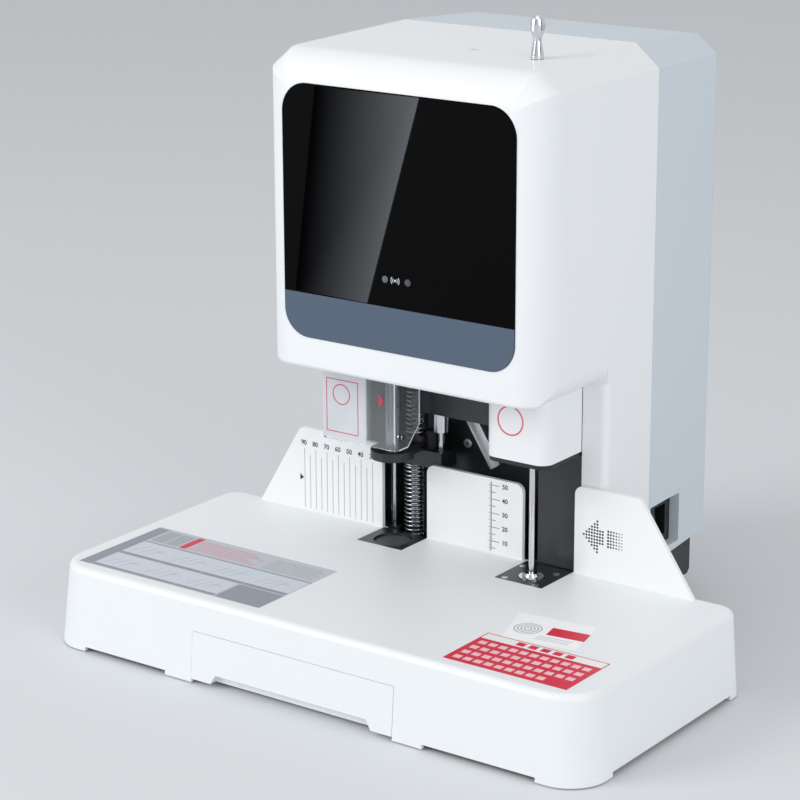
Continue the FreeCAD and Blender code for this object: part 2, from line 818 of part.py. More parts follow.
def make_head_hollow(half):
    """Hollow of the head, open to the rear, with the rounding of its outside less the wall."""
    body = new_body("head_hollow")
    inner = sketch_on(body, "XZ_Plane", -seam - wall)
    draw_outline(inner, chamfered_outline(half - wall, head_top - wall - head_top_fall,
                                          head_bottom + wall))
    pad(body, inner, seam + head_front)

    def face_rim(edge, middle):
        on_face = abs(middle.y + head_front.number - wall.number) < near
        return on_face and middle.z > (head_bottom + wall).number + near

    round_edges(body, face_rim, head_corner - wall)
    corners = lower_corners("hollow_corner", half - wall, head_bottom + wall,
                            head_low_corner - wall, -head_front - wall, column_face + wall)
    return cut("head_hollow_rounded", body, corners)


def make_panel_seat():
    """The rounded recess in the face of the head that takes the display panel."""
    body = new_body("panel_seat")
    outline = sketch_on(body, "XZ_Plane", head_front - panel_thick + panel_proud)
    reach = panel_width / 2 + gap
    draw_box(outline, (-reach, panel_bottom - gap), (reach, panel_bottom + panel_height + gap))
    pad(body, outline, wall * 2)

    def seat_corner(edge, middle):
        return along_depth(edge)

    round_edges(body, seat_corner, panel_corner + gap)
    return body


def make_front_housing():
    body = new_body("front_shell")
    half = head_width / 2
    legs = sketch_on(body, "XY_Plane", table_height)
    draw_box(legs, (-half, column_face), (half, seam))
    pad(body, legs, head_bottom - table_height)

    def leg_corner(edge, middle):
        return is_upright(edge) and abs(middle.y - column_face.number) < near

    round_edges(body, leg_corner, column_corner)
    head = sketch_on(body, "XZ_Plane", -seam)
    draw_outline(head, chamfered_outline(half, head_top, head_bottom))
    pad(body, head, seam + head_front)
    # The roof falls a little towards the front
    fall = sketch_on(body, "YZ_Plane", -head_width)
    draw_outline(fall, [(seam + wall, head_top + wall), (seam, head_top),
                        (-head_front - wall, head_top - head_top_fall),
                        (-head_front - wall, head_top + wall)])
    pocket(body, fall, head_width * 2, reverse=True)

    def face_rim(edge, middle):
        on_face = abs(middle.y + head_front.number) < near
        return on_face and middle.z > head_bottom.number + near

    round_edges(body, face_rim, head_corner)

    def lower_rim(edge, middle):
        on_face = abs(middle.y + head_front.number) < near
        return on_face and abs(middle.z - head_bottom.number) < near

    round_edges(body, lower_rim, wall)
    # Throat between the legs, and the openings under the head
    throat = sketch_on(body, "XZ_Plane", -column_face - wall)
    draw_box(throat, (-throat_left, table_height), (throat_right, head_bottom))
    pocket(body, throat, wall * 2, reverse=True)
    under = sketch_on(body, "XY_Plane", head_bottom)
    draw_box(under, (-guard_left - gap, -guard_front - gap), (cover_left, column_face + wall))
    draw_box(under, (cover_left + cover_wall, -cover_front + cover_wall),
             (cover_right - cover_wall, column_face + wall))
    pocket(body, under, wall, reverse=True)
    column_hollow = rounded_front_block(
        "column_hollow", (-half + wall, column_face + wall), (half - wall, seam + wall),
        table_height - wall, head_bottom + wall * 2, column_corner - wall)
    tools = [
        make_head_hollow(half), column_hollow, make_panel_seat(),
        rod("bush_hole", rivet_x, rivet_y, head_top - wall * 3, bush_radius + gap, wall * 4),
        rod("port_hole", port_x, port_y, head_top - wall * 3, port_radius + gap, wall * 4),
    ] + lower_corners("head_corner", half, head_bottom, head_low_corner,
                      -head_front - wall, column_face)
    return keep(cut("front_housing", body, tools), "front_housing")


def make_rear_housing():
    body = new_body("rear_housing")
    half = head_width / 2
    start = seam + gap
    outline = sketch_on(body, "XZ_Plane", -start)
    draw_outline(outline, chamfered_outline(half, head_top, rear_bottom))
    pad(body, outline, rear_back - start, reverse=True, taper=-rear_draft)

    def back_rim(edge, middle):
        return abs(middle.y - rear_back.number) < near

    round_edges(body, back_rim, rear_corner)
    inner = sketch_on(body, "XZ_Plane", -start)
    draw_outline(inner, chamfered_outline(half - wall, head_top - wall, rear_bottom - wall))
    pocket(body, inner, rear_back - start - wall, taper=-rear_draft)
    # Moulded well for the mains inlet and the switch
    well = sketch_on(body, "YZ_Plane", half - recess_deep)
    draw_box(well, (recess_front - sheet_metal, recess_bottom - sheet_metal),
             (recess_back + sheet_metal, recess_top + sheet_metal))
    pad(body, well, recess_deep - wall / 2)
    recess = sketch_on(body, "YZ_Plane", half + wall)
    draw_box(recess, (recess_front, recess_bottom), (recess_back, recess_top))
    pocket(body, recess, wall + recess_deep)
    return keep(body, "rear_housing")


def rounded_panel(name, low_z, high_z, front, back, whole):
    """A plate with the panel's corner radius at the corners it keeps."""
    body = new_body(name)
    face = sketch_on(body, "XZ_Plane", -back)
    half = panel_width / 2
    draw_box(face, (-half, low_z), (half, high_z))
    pad(body, face, back - front)

    def panel_edge(edge, middle):
        return along_depth(edge) and (whole or middle.z < low_z.number + near)

    round_edges(body, panel_edge, panel_corner)
    return keep(body, name)


def make_panel():
    """Glossy touch panel with a slate band along its lower edge."""
    front = -head_front - panel_proud
    back = front + panel_thick
    stripe_front = front + panel_proud
    body = rounded_panel("display_panel", panel_bottom, panel_bottom + panel_height,
                         front, back, True)
    trench = sketch_on(body, "XZ_Plane", -stripe_front)
    half = panel_width / 2
    draw_box(trench, (-half - gap, panel_bottom - gap),
             (half + gap, panel_bottom + stripe_height))
    pocket(body, trench, panel_proud * 2, reverse=True)
    rounded_panel("panel_stripe", panel_bottom, panel_bottom + stripe_height,
                  front, stripe_front, False)


# Throat: black back frame, bracket, shroud, columns, guard and rivet cover

def make_back_frame():
    """Black steel plate behind the throat that carries every guide."""
    low = -head_width / 2 + wall * 3
    high = head_width / 2 - wall * 3
    top_z = column_top + plate_metal
    shoulder = head_top - chamfer_tall - wall * 3
    plate = block("back_frame_plate", (low, frame_front, table_height),
                  (high, frame_front + plate_metal, shoulder))
    neck = block("back_frame_neck", (low + chamfer_wide, frame_front, shoulder),
                 (high - chamfer_wide, frame_front + plate_metal, top_z))
    top = block("frame_roof", (low + chamfer_wide, frame_front - roof_reach, column_top),
                (high - chamfer_wide, frame_front + plate_metal, top_z))
    shelf_half = post_spread + post_radius + sheet_metal
    shelf = block("ram_shelf", (rivet_x - shelf_half, post_y - post_radius - wall, shelf_bottom),
                  (rivet_x + shelf_half, frame_front, shelf_bottom + plate_metal))
    holes = [
        rod("roof_left", drill_x - left_spread, column_y, column_top, column_radius,
            plate_metal),
        rod("roof_needle", rivet_x, rivet_y, column_top, needle_radius + gap, plate_metal),
        rod("roof_port", port_x, port_y, column_top, port_tube + gap, plate_metal),
    ]
    return keep(cut("back_frame", fuse("frame_whole", [plate, neck, top, shelf]), holes),
                "back_frame")


def make_bracket():
    """Dark folded bracket across the top of the throat."""
    left = drill_x + spring_radius + wall
    right = cover_left - gap
    front = block("bracket_face", (left, bracket_front, bracket_bottom),
                  (right, bracket_front + sheet_metal, head_bottom))
    arm = block("bracket_arm", (right - sheet_metal, bracket_front, bracket_bottom),
                (right, frame_front, head_bottom))
    return keep(fuse("front_bracket", [front, arm]), "front_bracket")


def make_shroud():
    """Black folded sheet behind the rivet station, up to the floor of the cover."""
    left = gauge_mid_right + shroud_set
    right = throat_right - gap
    top = cover_bottom - rim_thick - gap
    face = block("shroud_face", (left, column_face, table_height),
                 (right, column_face + sheet_metal, top))
    side = block("shroud_side", (left, column_face, table_height),
                 (left + sheet_metal, frame_front, shelf_bottom - gap))
    return keep(fuse("rivet_shroud", [face, side]), "rivet_shroud")


def make_cover_rim():
    """Black floor of the rivet cover with the hole that the ram comes through."""
    body = new_body("cover_rim")
    face = sketch_on(body, "XY_Plane", cover_bottom - rim_thick)
    inset = gap * 2
    draw_box(face, (cover_left + inset, -cover_front + inset),
             (cover_right - inset, gauge_plane + gauge_thick))
    pad(body, face, rim_thick)

    def rim_corner(edge, middle):
        return is_upright(edge) and middle.y < 0

    round_edges(body, rim_corner, cover_corner - inset)
    hole = sketch_on(body, "XY_Plane", cover_bottom)
    draw_circle(hole, rivet_x, rivet_y, ram_radius + gap * 2)
    pocket(body, hole, rim_thick)
    return keep(body, "cover_rim")


def rounded_front_block(name, low, high, low_z, high_z, radius):
    """A block whose two front upright corners are rounded."""
    body = new_body(name)
    plan = sketch_on(body, "XY_Plane", low_z)
    draw_box(plan, low, high)
    pad(body, plan, high_z - low_z)

    def front_corner(edge, middle):
        return is_upright(edge) and middle.y < as_size(low[1]).number + near

    round_edges(body, front_corner, radius)
    return body


def make_rivet_cover():
    """White moulded box under the head, open at the back and round the ram."""
    back = gauge_plane + gauge_thick
    outer = rounded_front_block("cover_outside", (cover_left, -cover_front),
                                (cover_right, back), cover_bottom, head_bottom, cover_corner)
    inner = rounded_front_block("cover_inside",
                                (cover_left + cover_wall, -cover_front + cover_wall),
                                (cover_right - cover_wall, back + wall),
                                cover_bottom - wall, head_bottom + wall,
                                cover_corner - cover_wall)
    return keep(cut("rivet_cover", outer, [inner]), "rivet_cover")


def make_columns():
    """Chrome guides of the drill head and the rod that the springs sit on."""
    floor = foot_height + sheet_metal
    left = rod("left_column", drill_x - left_spread, column_y, floor, column_radius,
               column_top + plate_metal - floor)
    keep(left, "left_column")
    sleeve_top = carriage_bottom - drill_travel - gap * 2
    thin = rod("right_column_thin", drill_x + right_spread, column_y, floor, column_radius,
               column_top - floor)
    thick = rod("right_column_sleeve", drill_x + right_spread, column_y, sleeve_bottom,
                sleeve_radius, sleeve_top - sleeve_bottom)
    keep(fuse("right_column", [thin, thick]), "right_column")
    spring_rod = rod("spring_rod", drill_x, column_y, floor, rod_radius, sleeve_top - floor)
    keep(spring_rod, "spring_rod")


def make_guard():
    """Clear bent acrylic that keeps fingers out of the drill."""
    body = new_body("drill_guard")
    plan = sketch_on(body, "XY_Plane", guard_bottom)
    draw_box(plan, (-guard_left, -guard_front), (-guard_right, guard_back))
    pad(body, plan, guard_top - guard_bottom)

    def bend(edge, middle):
        return is_upright(edge) and middle.y < 0

    round_edges(body, bend, guard_wall * 1.4)
    inner = sketch_on(body, "XY_Plane", guard_top)
    draw_box(inner, (-guard_left + guard_wall, -guard_front + guard_wall),
             (-guard_right - guard_wall, guard_back + guard_wall))
    pocket(body, inner, guard_top - guard_bottom)
    corner = sketch_on(body, "YZ_Plane", 0)
    draw_outline(corner, [
        (guard_back - guard_notch, guard_bottom - wall), (guard_back + wall, guard_bottom - wall),
        (guard_back + wall, guard_bottom + guard_notch), (guard_back, guard_bottom + guard_notch),
        (guard_back - guard_notch, guard_bottom)])
    pocket(body, corner, guard_left + wall)
    return keep(body, "drill_guard")


def make_guard_screws():
    """Two small fasteners through the right side of the guard."""
    screws = []
    for index in (0, 1):
        screws.append(rod("guard_screw_%d" % index, -guard_right,
                          -guard_screw_y + guard_screw_step * index,
                          guard_screw_z - guard_screw_drop * index, wall / 2, gap * 3, "x"))
    return keep(group("guard_screws", screws), "guard_screws")


def make_frame_screw():
    """Cross-head screw that shows on the back plate."""
    head = rod("frame_screw_head", frame_screw_x, frame_front - frame_screw_rise,
               frame_screw_z, frame_screw_radius, frame_screw_rise, "y")
    return keep(head, "frame_screw")


def make_chute():
    """Bright folded channel on the back plate that lets cut rivet tube slide away."""
    body = new_body("tube_chute")
    section = sketch_on(body, "XY_Plane", 0)
    half = chute_width / 2
    lip = half - chute_wall
    draw_outline(section, [
        (-half, 0), (half, 0), (half, -half), (lip, -half), (lip, -chute_wall),
        (-lip, -chute_wall), (-lip, -half), (-half, -half)])
    pad(body, section, chute_length)
    body.Placement = Placement(Vector(), Rotation(Vector(0, 1, 0), -chute_tilt.number))
    place(body, chute_x, frame_front, chute_z)
    return keep(body, "tube_chute")


# Drill carriage, spindle and drive

def make_carriage():
    """Aluminium carriage that slides on the two columns with the spindle and motor."""
    body = new_body("drill_carriage")
    plan = sketch_on(body, "XY_Plane", carriage_bottom)
    left = drill_x - left_spread - wall * 3
    right = drill_x + right_spread + wall * 3
    neck = drill_x + spring_radius
    front = drill_y - quill_radius - wall
    step = bracket_front + sheet_metal + wall
    back = column_y + wall * 3
    draw_outline(plan, [
        (left + wall * 2, front), (neck, front), (neck, step), (right, step), (right, back),
        (left, back), (left, step), (left + wall * 2, step)])
    pad(body, plan, carriage_height)
    deck = sketch_on(body, "XY_Plane", carriage_bottom + carriage_height)
    draw_box(deck, (left, front), (motor_x + motor_radius + wall, back))
    pad(body, deck, plate_metal)
    quill = sketch_on(body, "XY_Plane", carriage_bottom + carriage_height + plate_metal)
    draw_circle(quill, drill_x, drill_y, quill_radius)
    pad(body, quill, quill_height)
    bores = sketch_on(body, "XY_Plane", carriage_bottom + carriage_height + plate_metal)
    for x in (drill_x - left_spread, drill_x + right_spread):
        draw_circle(bores, x, column_y, column_radius + spindle_gap)
    pocket(body, bores, carriage_height + plate_metal)
    bore = sketch_on(body, "XY_Plane",
                     carriage_bottom + carriage_height + plate_metal + quill_height)
    draw_circle(bore, drill_x, drill_y, spindle_radius + spindle_gap)
    pocket(body, bore, carriage_height + plate_metal + quill_height)
    return keep(body, "drill_carriage")


def make_spindle():
    low = chuck_bottom + chuck_height
    shaft = tube("drill_spindle", drill_x, drill_y, low, spindle_radius, bit_bore,
                 spindle_top - low)
    keep(shaft, "drill_spindle")
    nose = cone("chuck_nose", drill_x, drill_y, chuck_bottom, chuck_radius * 0.6,
                chuck_radius, chuck_height / 3)
    barrel = rod("chuck_barrel", drill_x, drill_y, chuck_bottom + chuck_height / 3,
                 chuck_radius, chuck_height * 2 / 3)
    bore = rod("chuck_bore", drill_x, drill_y, chuck_bottom, bit_radius, chuck_height)
    keep(cut("drill_chuck", fuse("chuck_solid", [nose, barrel]), [bore]), "drill_chuck")
    # The hollow bit has a ground edge: its mouth tapers in to a thin ring
    shank = rod("bit_shank", drill_x, drill_y, bit_tip + wall, bit_radius,
                low - bit_tip - wall)
    mouth = cone("bit_mouth", drill_x, drill_y, bit_tip, bit_bore + gap, bit_radius, wall)
    hollow = rod("bit_hollow", drill_x, drill_y, bit_tip, bit_bore, low - bit_tip)
    keep(cut("hollow_bit", fuse("bit_solid", [shank, mouth]), [hollow]), "hollow_bit")


def make_motor():
    deck = carriage_bottom + carriage_height + plate_metal
    body = rod("drill_motor_can", motor_x, drill_y, deck, motor_radius, motor_height)
    keep(body, "drill_motor")


def pulley_bottom():
    return spindle_top - pulley_height - wall


def make_pulleys():
    """Two equal flanged pulleys with a flat belt round them."""
    low = pulley_bottom()
    for label, x, bore in (("spindle_pulley", drill_x, spindle_radius),
                           ("motor_pulley", motor_x, wall)):
        barrel = rod(label + "_barrel", x, drill_y, low, pulley_radius, pulley_height)
        flange = rod(label + "_flange", x, drill_y, low - gap * 4,
                     pulley_radius + belt_thick + gap * 2, gap * 4)
        whole = fuse(label + "_whole", [barrel, flange])
        hole = rod(label + "_hole", x, drill_y, low - wall, bore, pulley_height + wall * 3)
        keep(cut(label, whole, [hole]), label)
    deck = carriage_bottom + carriage_height + plate_metal
    shaft = rod("motor_shaft", motor_x, drill_y, deck + motor_height + gap, wall,
                low + pulley_height + wall - deck - motor_height)
    keep(shaft, "motor_shaft")


def make_belt():
    """Flat belt: two straight runs and two half rounds about the pulleys."""
    low = pulley_bottom() + gap * 2
    height = pulley_height - gap * 4
    inner = pulley_radius + gap
    outer = inner + belt_thick

    def loop(name, radius):
        ends = [rod(name + "_end_%d" % index, x, drill_y, low, radius, height)
                for index, x in enumerate((drill_x, motor_x))]
        middle = block(name + "_middle", (drill_x, drill_y - radius, low),
                       (motor_x, drill_y + radius, low + height))
        return fuse(name, ends + [middle])

    keep(cut("drive_belt", loop("belt_outer", outer), [loop("belt_inner", inner)]),
         "drive_belt")


# Presser foot with its springs

def make_presser():
    """Presser: a ring round the drill, an arm through the slot and a block on the rods."""
    body = new_body("presser_foot")
    ring = sketch_on(body, "XY_Plane", foot_plate_bottom)
    draw_circle(ring, drill_x, drill_y, foot_ring)
    pad(body, ring, foot_plate_thick)
    arm = sketch_on(body, "XY_Plane", foot_plate_bottom)
    draw_box(arm, (drill_x - foot_ring * 0.6, drill_y + gap),
             (drill_x + foot_ring * 0.6, column_y))
    pad(body, arm, foot_plate_thick)
    bridge = sketch_on(body, "XY_Plane", block_bottom)
    draw_box(bridge, (drill_x - block_left, column_face + gap),
             (drill_x + block_right, column_y + spring_radius + gap))
    pad(body, bridge, foot_plate_thick * 2)
    boss = sketch_on(body, "XY_Plane", block_bottom + foot_plate_thick)
    draw_circle(boss, drill_x, column_y, spring_radius + gap)
    pad(body, boss, block_top - block_bottom - foot_plate_thick)
    bores = sketch_on(body, "XY_Plane", block_top)
    draw_circle(bores, drill_x, column_y, rod_radius + spindle_gap)
    draw_circle(bores, drill_x + right_spread, column_y, column_radius + spindle_gap)
    draw_circle(bores, drill_x, drill_y, foot_hole)
    pocket(body, bores, block_top - block_bottom)
    keep(body, "presser_foot")
    bush = tube("presser_bush", drill_x + right_spread, column_y,
                block_bottom - foot_bush_height, foot_bush, column_radius + spindle_gap,
                foot_bush_height)
    return keep(bush, "presser_bush")


def make_buffer():
    """Rubber buffer on the presser that meets the carriage at the end of its stroke."""
    body = rod("foot_buffer", drill_x + buffer_shift, column_y,
               block_bottom + foot_plate_thick * 2, buffer_radius, buffer_height)
    return keep(body, "foot_buffer")


def make_springs():
    """Two springs on the rod, each the sleeve that its turns fill."""
    floor = foot_height + sheet_metal + gap
    for label, low, high in (("lower_spring", floor, block_bottom),
                             ("upper_spring", block_top, carriage_bottom)):
        sleeve = tube(label, drill_x, column_y, low + spindle_gap, spring_radius,
                      spring_radius - spring_wire, high - low - spindle_gap * 2)
        keep(sleeve, label)


# Rivet ram with its guides, and the guide needle

def make_ram():
    """Slider on two posts that pushes the heated hollow ram down round the needle."""
    body = new_body("ram_slider")
    plan = sketch_on(body, "XY_Plane", slider_bottom)
    neck = ram_radius + wall * 3
    cross_front = post_y - post_radius - wall
    draw_box(plan, (rivet_x - neck, rivet_y - ram_radius - wall * 2),
             (rivet_x + neck, cross_front + wall))
    pad(body, plan, slider_height)
    cross = sketch_on(body, "XY_Plane", slider_bottom)
    reach = post_spread + post_radius + sheet_metal
    draw_box(cross, (rivet_x - reach, cross_front),
             (rivet_x + reach, post_y + post_radius + wall))
    pad(body, cross, slider_height)
    bores = sketch_on(body, "XY_Plane", slider_bottom + slider_height)
    for side in (-1, 1):
        draw_circle(bores, rivet_x + post_spread * side, post_y, post_radius + spindle_gap)
    draw_circle(bores, rivet_x, rivet_y, ram_radius)
    pocket(body, bores, slider_height)
    keep(body, "ram_slider")
    stem = tube("hot_ram", rivet_x, rivet_y, ram_tip, ram_radius, die_bore,
                slider_bottom + slider_height - ram_tip)
    keep(stem, "hot_ram")
    low = shelf_bottom + plate_metal
    posts = [rod("ram_post_%d" % index, rivet_x + post_spread * side, post_y, low,
                 post_radius, column_top - low)
             for index, side in enumerate((-1, 1))]
    return keep(group("ram_posts", posts), "ram_posts")


def roof_height():
    """Top of the sloping roof above the rivet station."""
    return head_top - head_top_fall * (seam - rivet_y) / (seam + head_front)


def make_needle():
    """Long chrome guide needle; the knob on its top end lifts it out of the paper."""
    low = roof_height() + gap
    socket = knob_height / 3
    shaft = rod("guide_needle", rivet_x, rivet_y, needle_bottom, needle_radius,
                low + socket - needle_bottom)
    keep(shaft, "guide_needle")
    body = new_body("needle_knob")
    profile = sketch_on(body, "XZ_Plane", 0)
    full = knob_height
    centre = as_size(0)
    draw_outline(profile, [
        (needle_radius, centre), (knob_foot, centre), (knob_foot, full * 0.09),
        (knob_waist, full * 0.42), (knob_waist * 1.1, full * 0.5),
        (knob_ball * 0.92, full * 0.66), (knob_ball, full * 0.8),
        (knob_ball * 0.8, full * 0.93), (knob_ball * 0.4, full), (centre, full),
        (centre, socket), (needle_radius, socket)])
    turn = body.newObject("PartDesign::Revolution", "knob_turn")
    turn.Profile = profile
    turn.ReferenceAxis = (profile, ["V_Axis"])
    turn.Angle = 360
    doc.recompute()
    place(body, rivet_x, rivet_y, low)
    return keep(body, "needle_knob")


def make_bush_and_port():
    """Bush that guides the needle, and the port for the tube that rivets are cut from."""
    depth = wall * 2
    low = roof_height() - depth
    bush = tube("needle_bush", rivet_x, rivet_y, low, bush_radius, needle_radius + gap, depth)
    keep(bush, "needle_bush")
    ring = tube("feed_port", port_x, port_y, low, port_radius, port_tube, depth)
    keep(ring, "feed_port")
    core = tube("feed_tube", port_x, port_y, low - depth * 3, port_tube - gap / 2,
                port_tube - gap * 4, depth * 4)
    return keep(core, "feed_tube")


# Power corner in the rear housing

def make_power():
    face_x = head_width / 2 - recess_deep
    plate = block("power_plate_blank",
                  (face_x - sheet_metal, recess_front - sheet_metal,
                   recess_bottom - sheet_metal),
                  (face_x, recess_back + sheet_metal, recess_top + sheet_metal))
    inlet_hole = block("inlet_hole",
                       (face_x - wall * 2, inlet_y - inlet_wide / 2 - gap,
                        inlet_z - inlet_tall / 2 - gap),
                       (face_x + wall, inlet_y + inlet_wide / 2 + gap,
                        inlet_z + inlet_tall / 2 + gap))
    rocker_hole = block("rocker_hole",
                        (face_x - wall * 2, rocker_y - rocker_wide / 2 - gap,
                         inlet_z - rocker_tall / 2 - gap),
                        (face_x + wall, rocker_y + rocker_wide / 2 + gap,
                         inlet_z + rocker_tall / 2 + gap))
    keep(cut("power_plate", plate, [inlet_hole, rocker_hole]), "power_plate")
    shell = block("inlet_shell",
                  (face_x - inlet_deep, inlet_y - inlet_wide / 2, inlet_z - inlet_tall / 2),
                  (face_x + sheet_metal, inlet_y + inlet_wide / 2, inlet_z + inlet_tall / 2))
    flange = block("inlet_flange",
                   (face_x, inlet_y - inlet_wide / 2 - inlet_flange,
                    inlet_z - inlet_tall / 2 - inlet_flange),
                   (face_x + sheet_metal, inlet_y + inlet_wide / 2 + inlet_flange,
                    inlet_z + inlet_tall / 2 + inlet_flange))
    cavity = block("inlet_cavity",
                   (face_x - inlet_deep + wall, inlet_y - inlet_wide / 2 + wall / 2,
                    inlet_z - inlet_tall / 2 + wall / 2),
                   (face_x + wall * 2, inlet_y + inlet_wide / 2 - wall / 2,
                    inlet_z + inlet_tall / 2 - wall / 2))
    keep(cut("power_inlet", fuse("inlet_solid", [shell, flange]), [cavity]), "power_inlet")
    pins = []
    for index, step in enumerate((-1, 0, 1)):
        # The earth pin stands a little off the line of the other two
        middle = inlet_y + pin_offset * (1 - abs(step))
        height = inlet_z + pin_pitch * step
        low = (face_x - inlet_deep + wall, middle - pin_thick / 2, height - pin_thick)
        high = (face_x - inlet_flange, middle + pin_thick / 2, height + pin_thick)
        pins.append(block("inlet_pin_%d" % index, low, high))
    keep(group("inlet_pins", pins), "inlet_pins")


def make_rocker():
    """Mains switch: a rocker on a pin across a small frame behind the plate."""
    face_x = head_width / 2 - recess_deep
    body = new_body("rocker_paddle")
    side = sketch_on(body, "XZ_Plane", -rocker_y - rocker_wide / 2)
    half = rocker_tall / 2
    lean = half * math.tan(math.radians(rocker_swing.number))
    draw_outline(side, [
        (face_x - wall * 2, inlet_z - half * 0.7), (face_x, inlet_z - half + gap),
        (face_x + gap * 2 + lean, inlet_z - half + gap), (face_x + gap * 2, inlet_z),
        (face_x + gap * 2 + lean, inlet_z + half - gap), (face_x, inlet_z + half - gap),
        (face_x - wall * 2, inlet_z + half * 0.7)])
    pad(body, side, rocker_wide)
    pin = rod("rocker_pin", face_x - rocker_pin_depth, rocker_y - rocker_wide / 2 - wall,
              inlet_z, rocker_pin_radius, rocker_wide + wall * 2, "y")
    return keep(fuse("power_rocker", [body, pin]), "power_rocker")


make_base_cover()
make_chassis()
make_feet()
make_bed_frame()
make_drawer_rails()
make_drawer()
make_gauges()
make_drill_plate()
make_pad()
make_rivet_plate()
make_lower_die()
make_screws()
make_front_housing()
make_rear_housing()
make_panel()
make_back_frame()
make_bracket()
make_shroud()
make_cover_rim()
make_rivet_cover()
make_columns()
make_guard()
make_guard_screws()
make_frame_screw()
make_chute()
make_carriage()
make_spindle()
make_motor()
make_pulleys()
make_belt()
make_presser()
make_buffer()
make_springs()
make_ram()
make_needle()
make_bush_and_port()
make_power()
make_rocker()

doc.recompute()

# Nothing is written unless every object and every sub-part is sound
for thing in doc.Objects:
    if "Invalid" in thing.State or "Error" in thing.State:
        raise ValueError("%s failed: %s" % (thing.Name, thing.State))
for thing in subparts:
    if thing.Shape.isNull() or not thing.Shape.isValid():
        raise ValueError("%s has no sound shape" % thing.Label)

os.makedirs("parts", exist_ok=True)
for thing in subparts:
    thing.Shape.exportStep(os.path.join("parts", thing.Label + ".step"))
print("%d sub-parts written" % len(subparts))
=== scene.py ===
import math

import bpy
from mathutils import Matrix, Vector


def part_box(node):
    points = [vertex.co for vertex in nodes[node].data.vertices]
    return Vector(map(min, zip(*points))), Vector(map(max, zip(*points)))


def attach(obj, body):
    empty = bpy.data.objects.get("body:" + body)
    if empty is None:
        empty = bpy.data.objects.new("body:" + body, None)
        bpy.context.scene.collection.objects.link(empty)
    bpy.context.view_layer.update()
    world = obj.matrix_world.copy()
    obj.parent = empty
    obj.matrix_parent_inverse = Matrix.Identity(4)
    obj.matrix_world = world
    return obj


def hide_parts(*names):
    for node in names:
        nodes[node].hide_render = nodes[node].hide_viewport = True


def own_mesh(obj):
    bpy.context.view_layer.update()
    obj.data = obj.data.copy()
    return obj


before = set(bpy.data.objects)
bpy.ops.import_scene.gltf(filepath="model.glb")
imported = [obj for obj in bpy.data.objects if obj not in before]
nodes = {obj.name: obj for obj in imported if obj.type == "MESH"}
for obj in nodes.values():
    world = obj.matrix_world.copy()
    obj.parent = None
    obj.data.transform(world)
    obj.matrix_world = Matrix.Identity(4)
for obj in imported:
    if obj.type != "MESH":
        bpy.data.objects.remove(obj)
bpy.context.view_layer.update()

bpy.ops.object.select_all(action="DESELECT")


# Desk top and studio: a pale table under soft light. The world is pale to the camera and in
# reflections, and a shade softer where it lights the machine.
def linear(hex_colour):
    """An sRGB hex colour as the linear values that shaders work in."""
    channels = [int(hex_colour[i:i + 2], 16) / 255 for i in (1, 3, 5)]
    return [c / 12.92 if c <= 0.04045 else ((c + 0.055) / 1.055) ** 2.4
            for c in channels] + [1.0]


def add(tree, kind, values=None, links=None, **settings):
    """Add one node, with its properties, its input values and what is linked to it."""
    node = tree.nodes.new(kind)
    for key, value in settings.items():
        setattr(node, key, value)
    for key, value in (values or {}).items():
        node.inputs[key].default_value = value
    for key, source in (links or {}).items():
        tree.links.new(source, node.inputs[key])
    return node


def new_material(name):
    material = bpy.data.materials.new(name)
    material.use_nodes = True
    material.node_tree.nodes.clear()
    return material, material.node_tree


floor_material, tree = new_material("pale_desk_laminate")
coords = add(tree, "ShaderNodeTexCoord")
speckle = add(tree, "ShaderNodeTexNoise", {"Scale": 900.0, "Detail": 3.0},
              {"Vector": coords.outputs["Object"]})
tone = add(tree, "ShaderNodeValToRGB", None, {"Fac": speckle.outputs["Fac"]})
tone.color_ramp.elements[0].color = linear("#D3D6D9")
tone.color_ramp.elements[1].color = linear("#DCDFE1")
laminate = add(tree, "ShaderNodeBsdfPrincipled", {"Roughness": 0.6, "IOR": 1.45},
               {"Base Color": tone.outputs["Color"]})
add(tree, "ShaderNodeOutputMaterial", None, {"Surface": laminate.outputs["BSDF"]})

floor_metres = 12.0
bpy.ops.mesh.primitive_plane_add(size=floor_metres, location=(0, 0, 0))
floor = bpy.context.object
floor.name = "desk_top"
floor.data.materials.append(floor_material)

world = bpy.data.worlds.new("soft_studio")
bpy.context.scene.world = world
world.use_nodes = True
tree = world.node_tree
tree.nodes.clear()
path = add(tree, "ShaderNodeLightPath")
seen = add(tree, "ShaderNodeMath", None,
           {0: path.outputs["Is Camera Ray"], 1: path.outputs["Is Glossy Ray"]},
           operation="MAXIMUM")
seen_too = add(tree, "ShaderNodeMath", None,
               {0: seen.outputs[0], 1: path.outputs["Is Transmission Ray"]},
               operation="MAXIMUM")
lighting = add(tree, "ShaderNodeBackground", {"Color": linear("#F4F5F7"), "Strength": 0.7})
backdrop = add(tree, "ShaderNodeBackground", {"Color": linear("#D8DBDE"), "Strength": 1.0})
mixed = add(tree, "ShaderNodeMixShader", None,
            {0: seen_too.outputs[0], 1: lighting.outputs[0], 2: backdrop.outputs[0]})
add(tree, "ShaderNodeOutputWorld", None, {"Surface": mixed.outputs[0]})

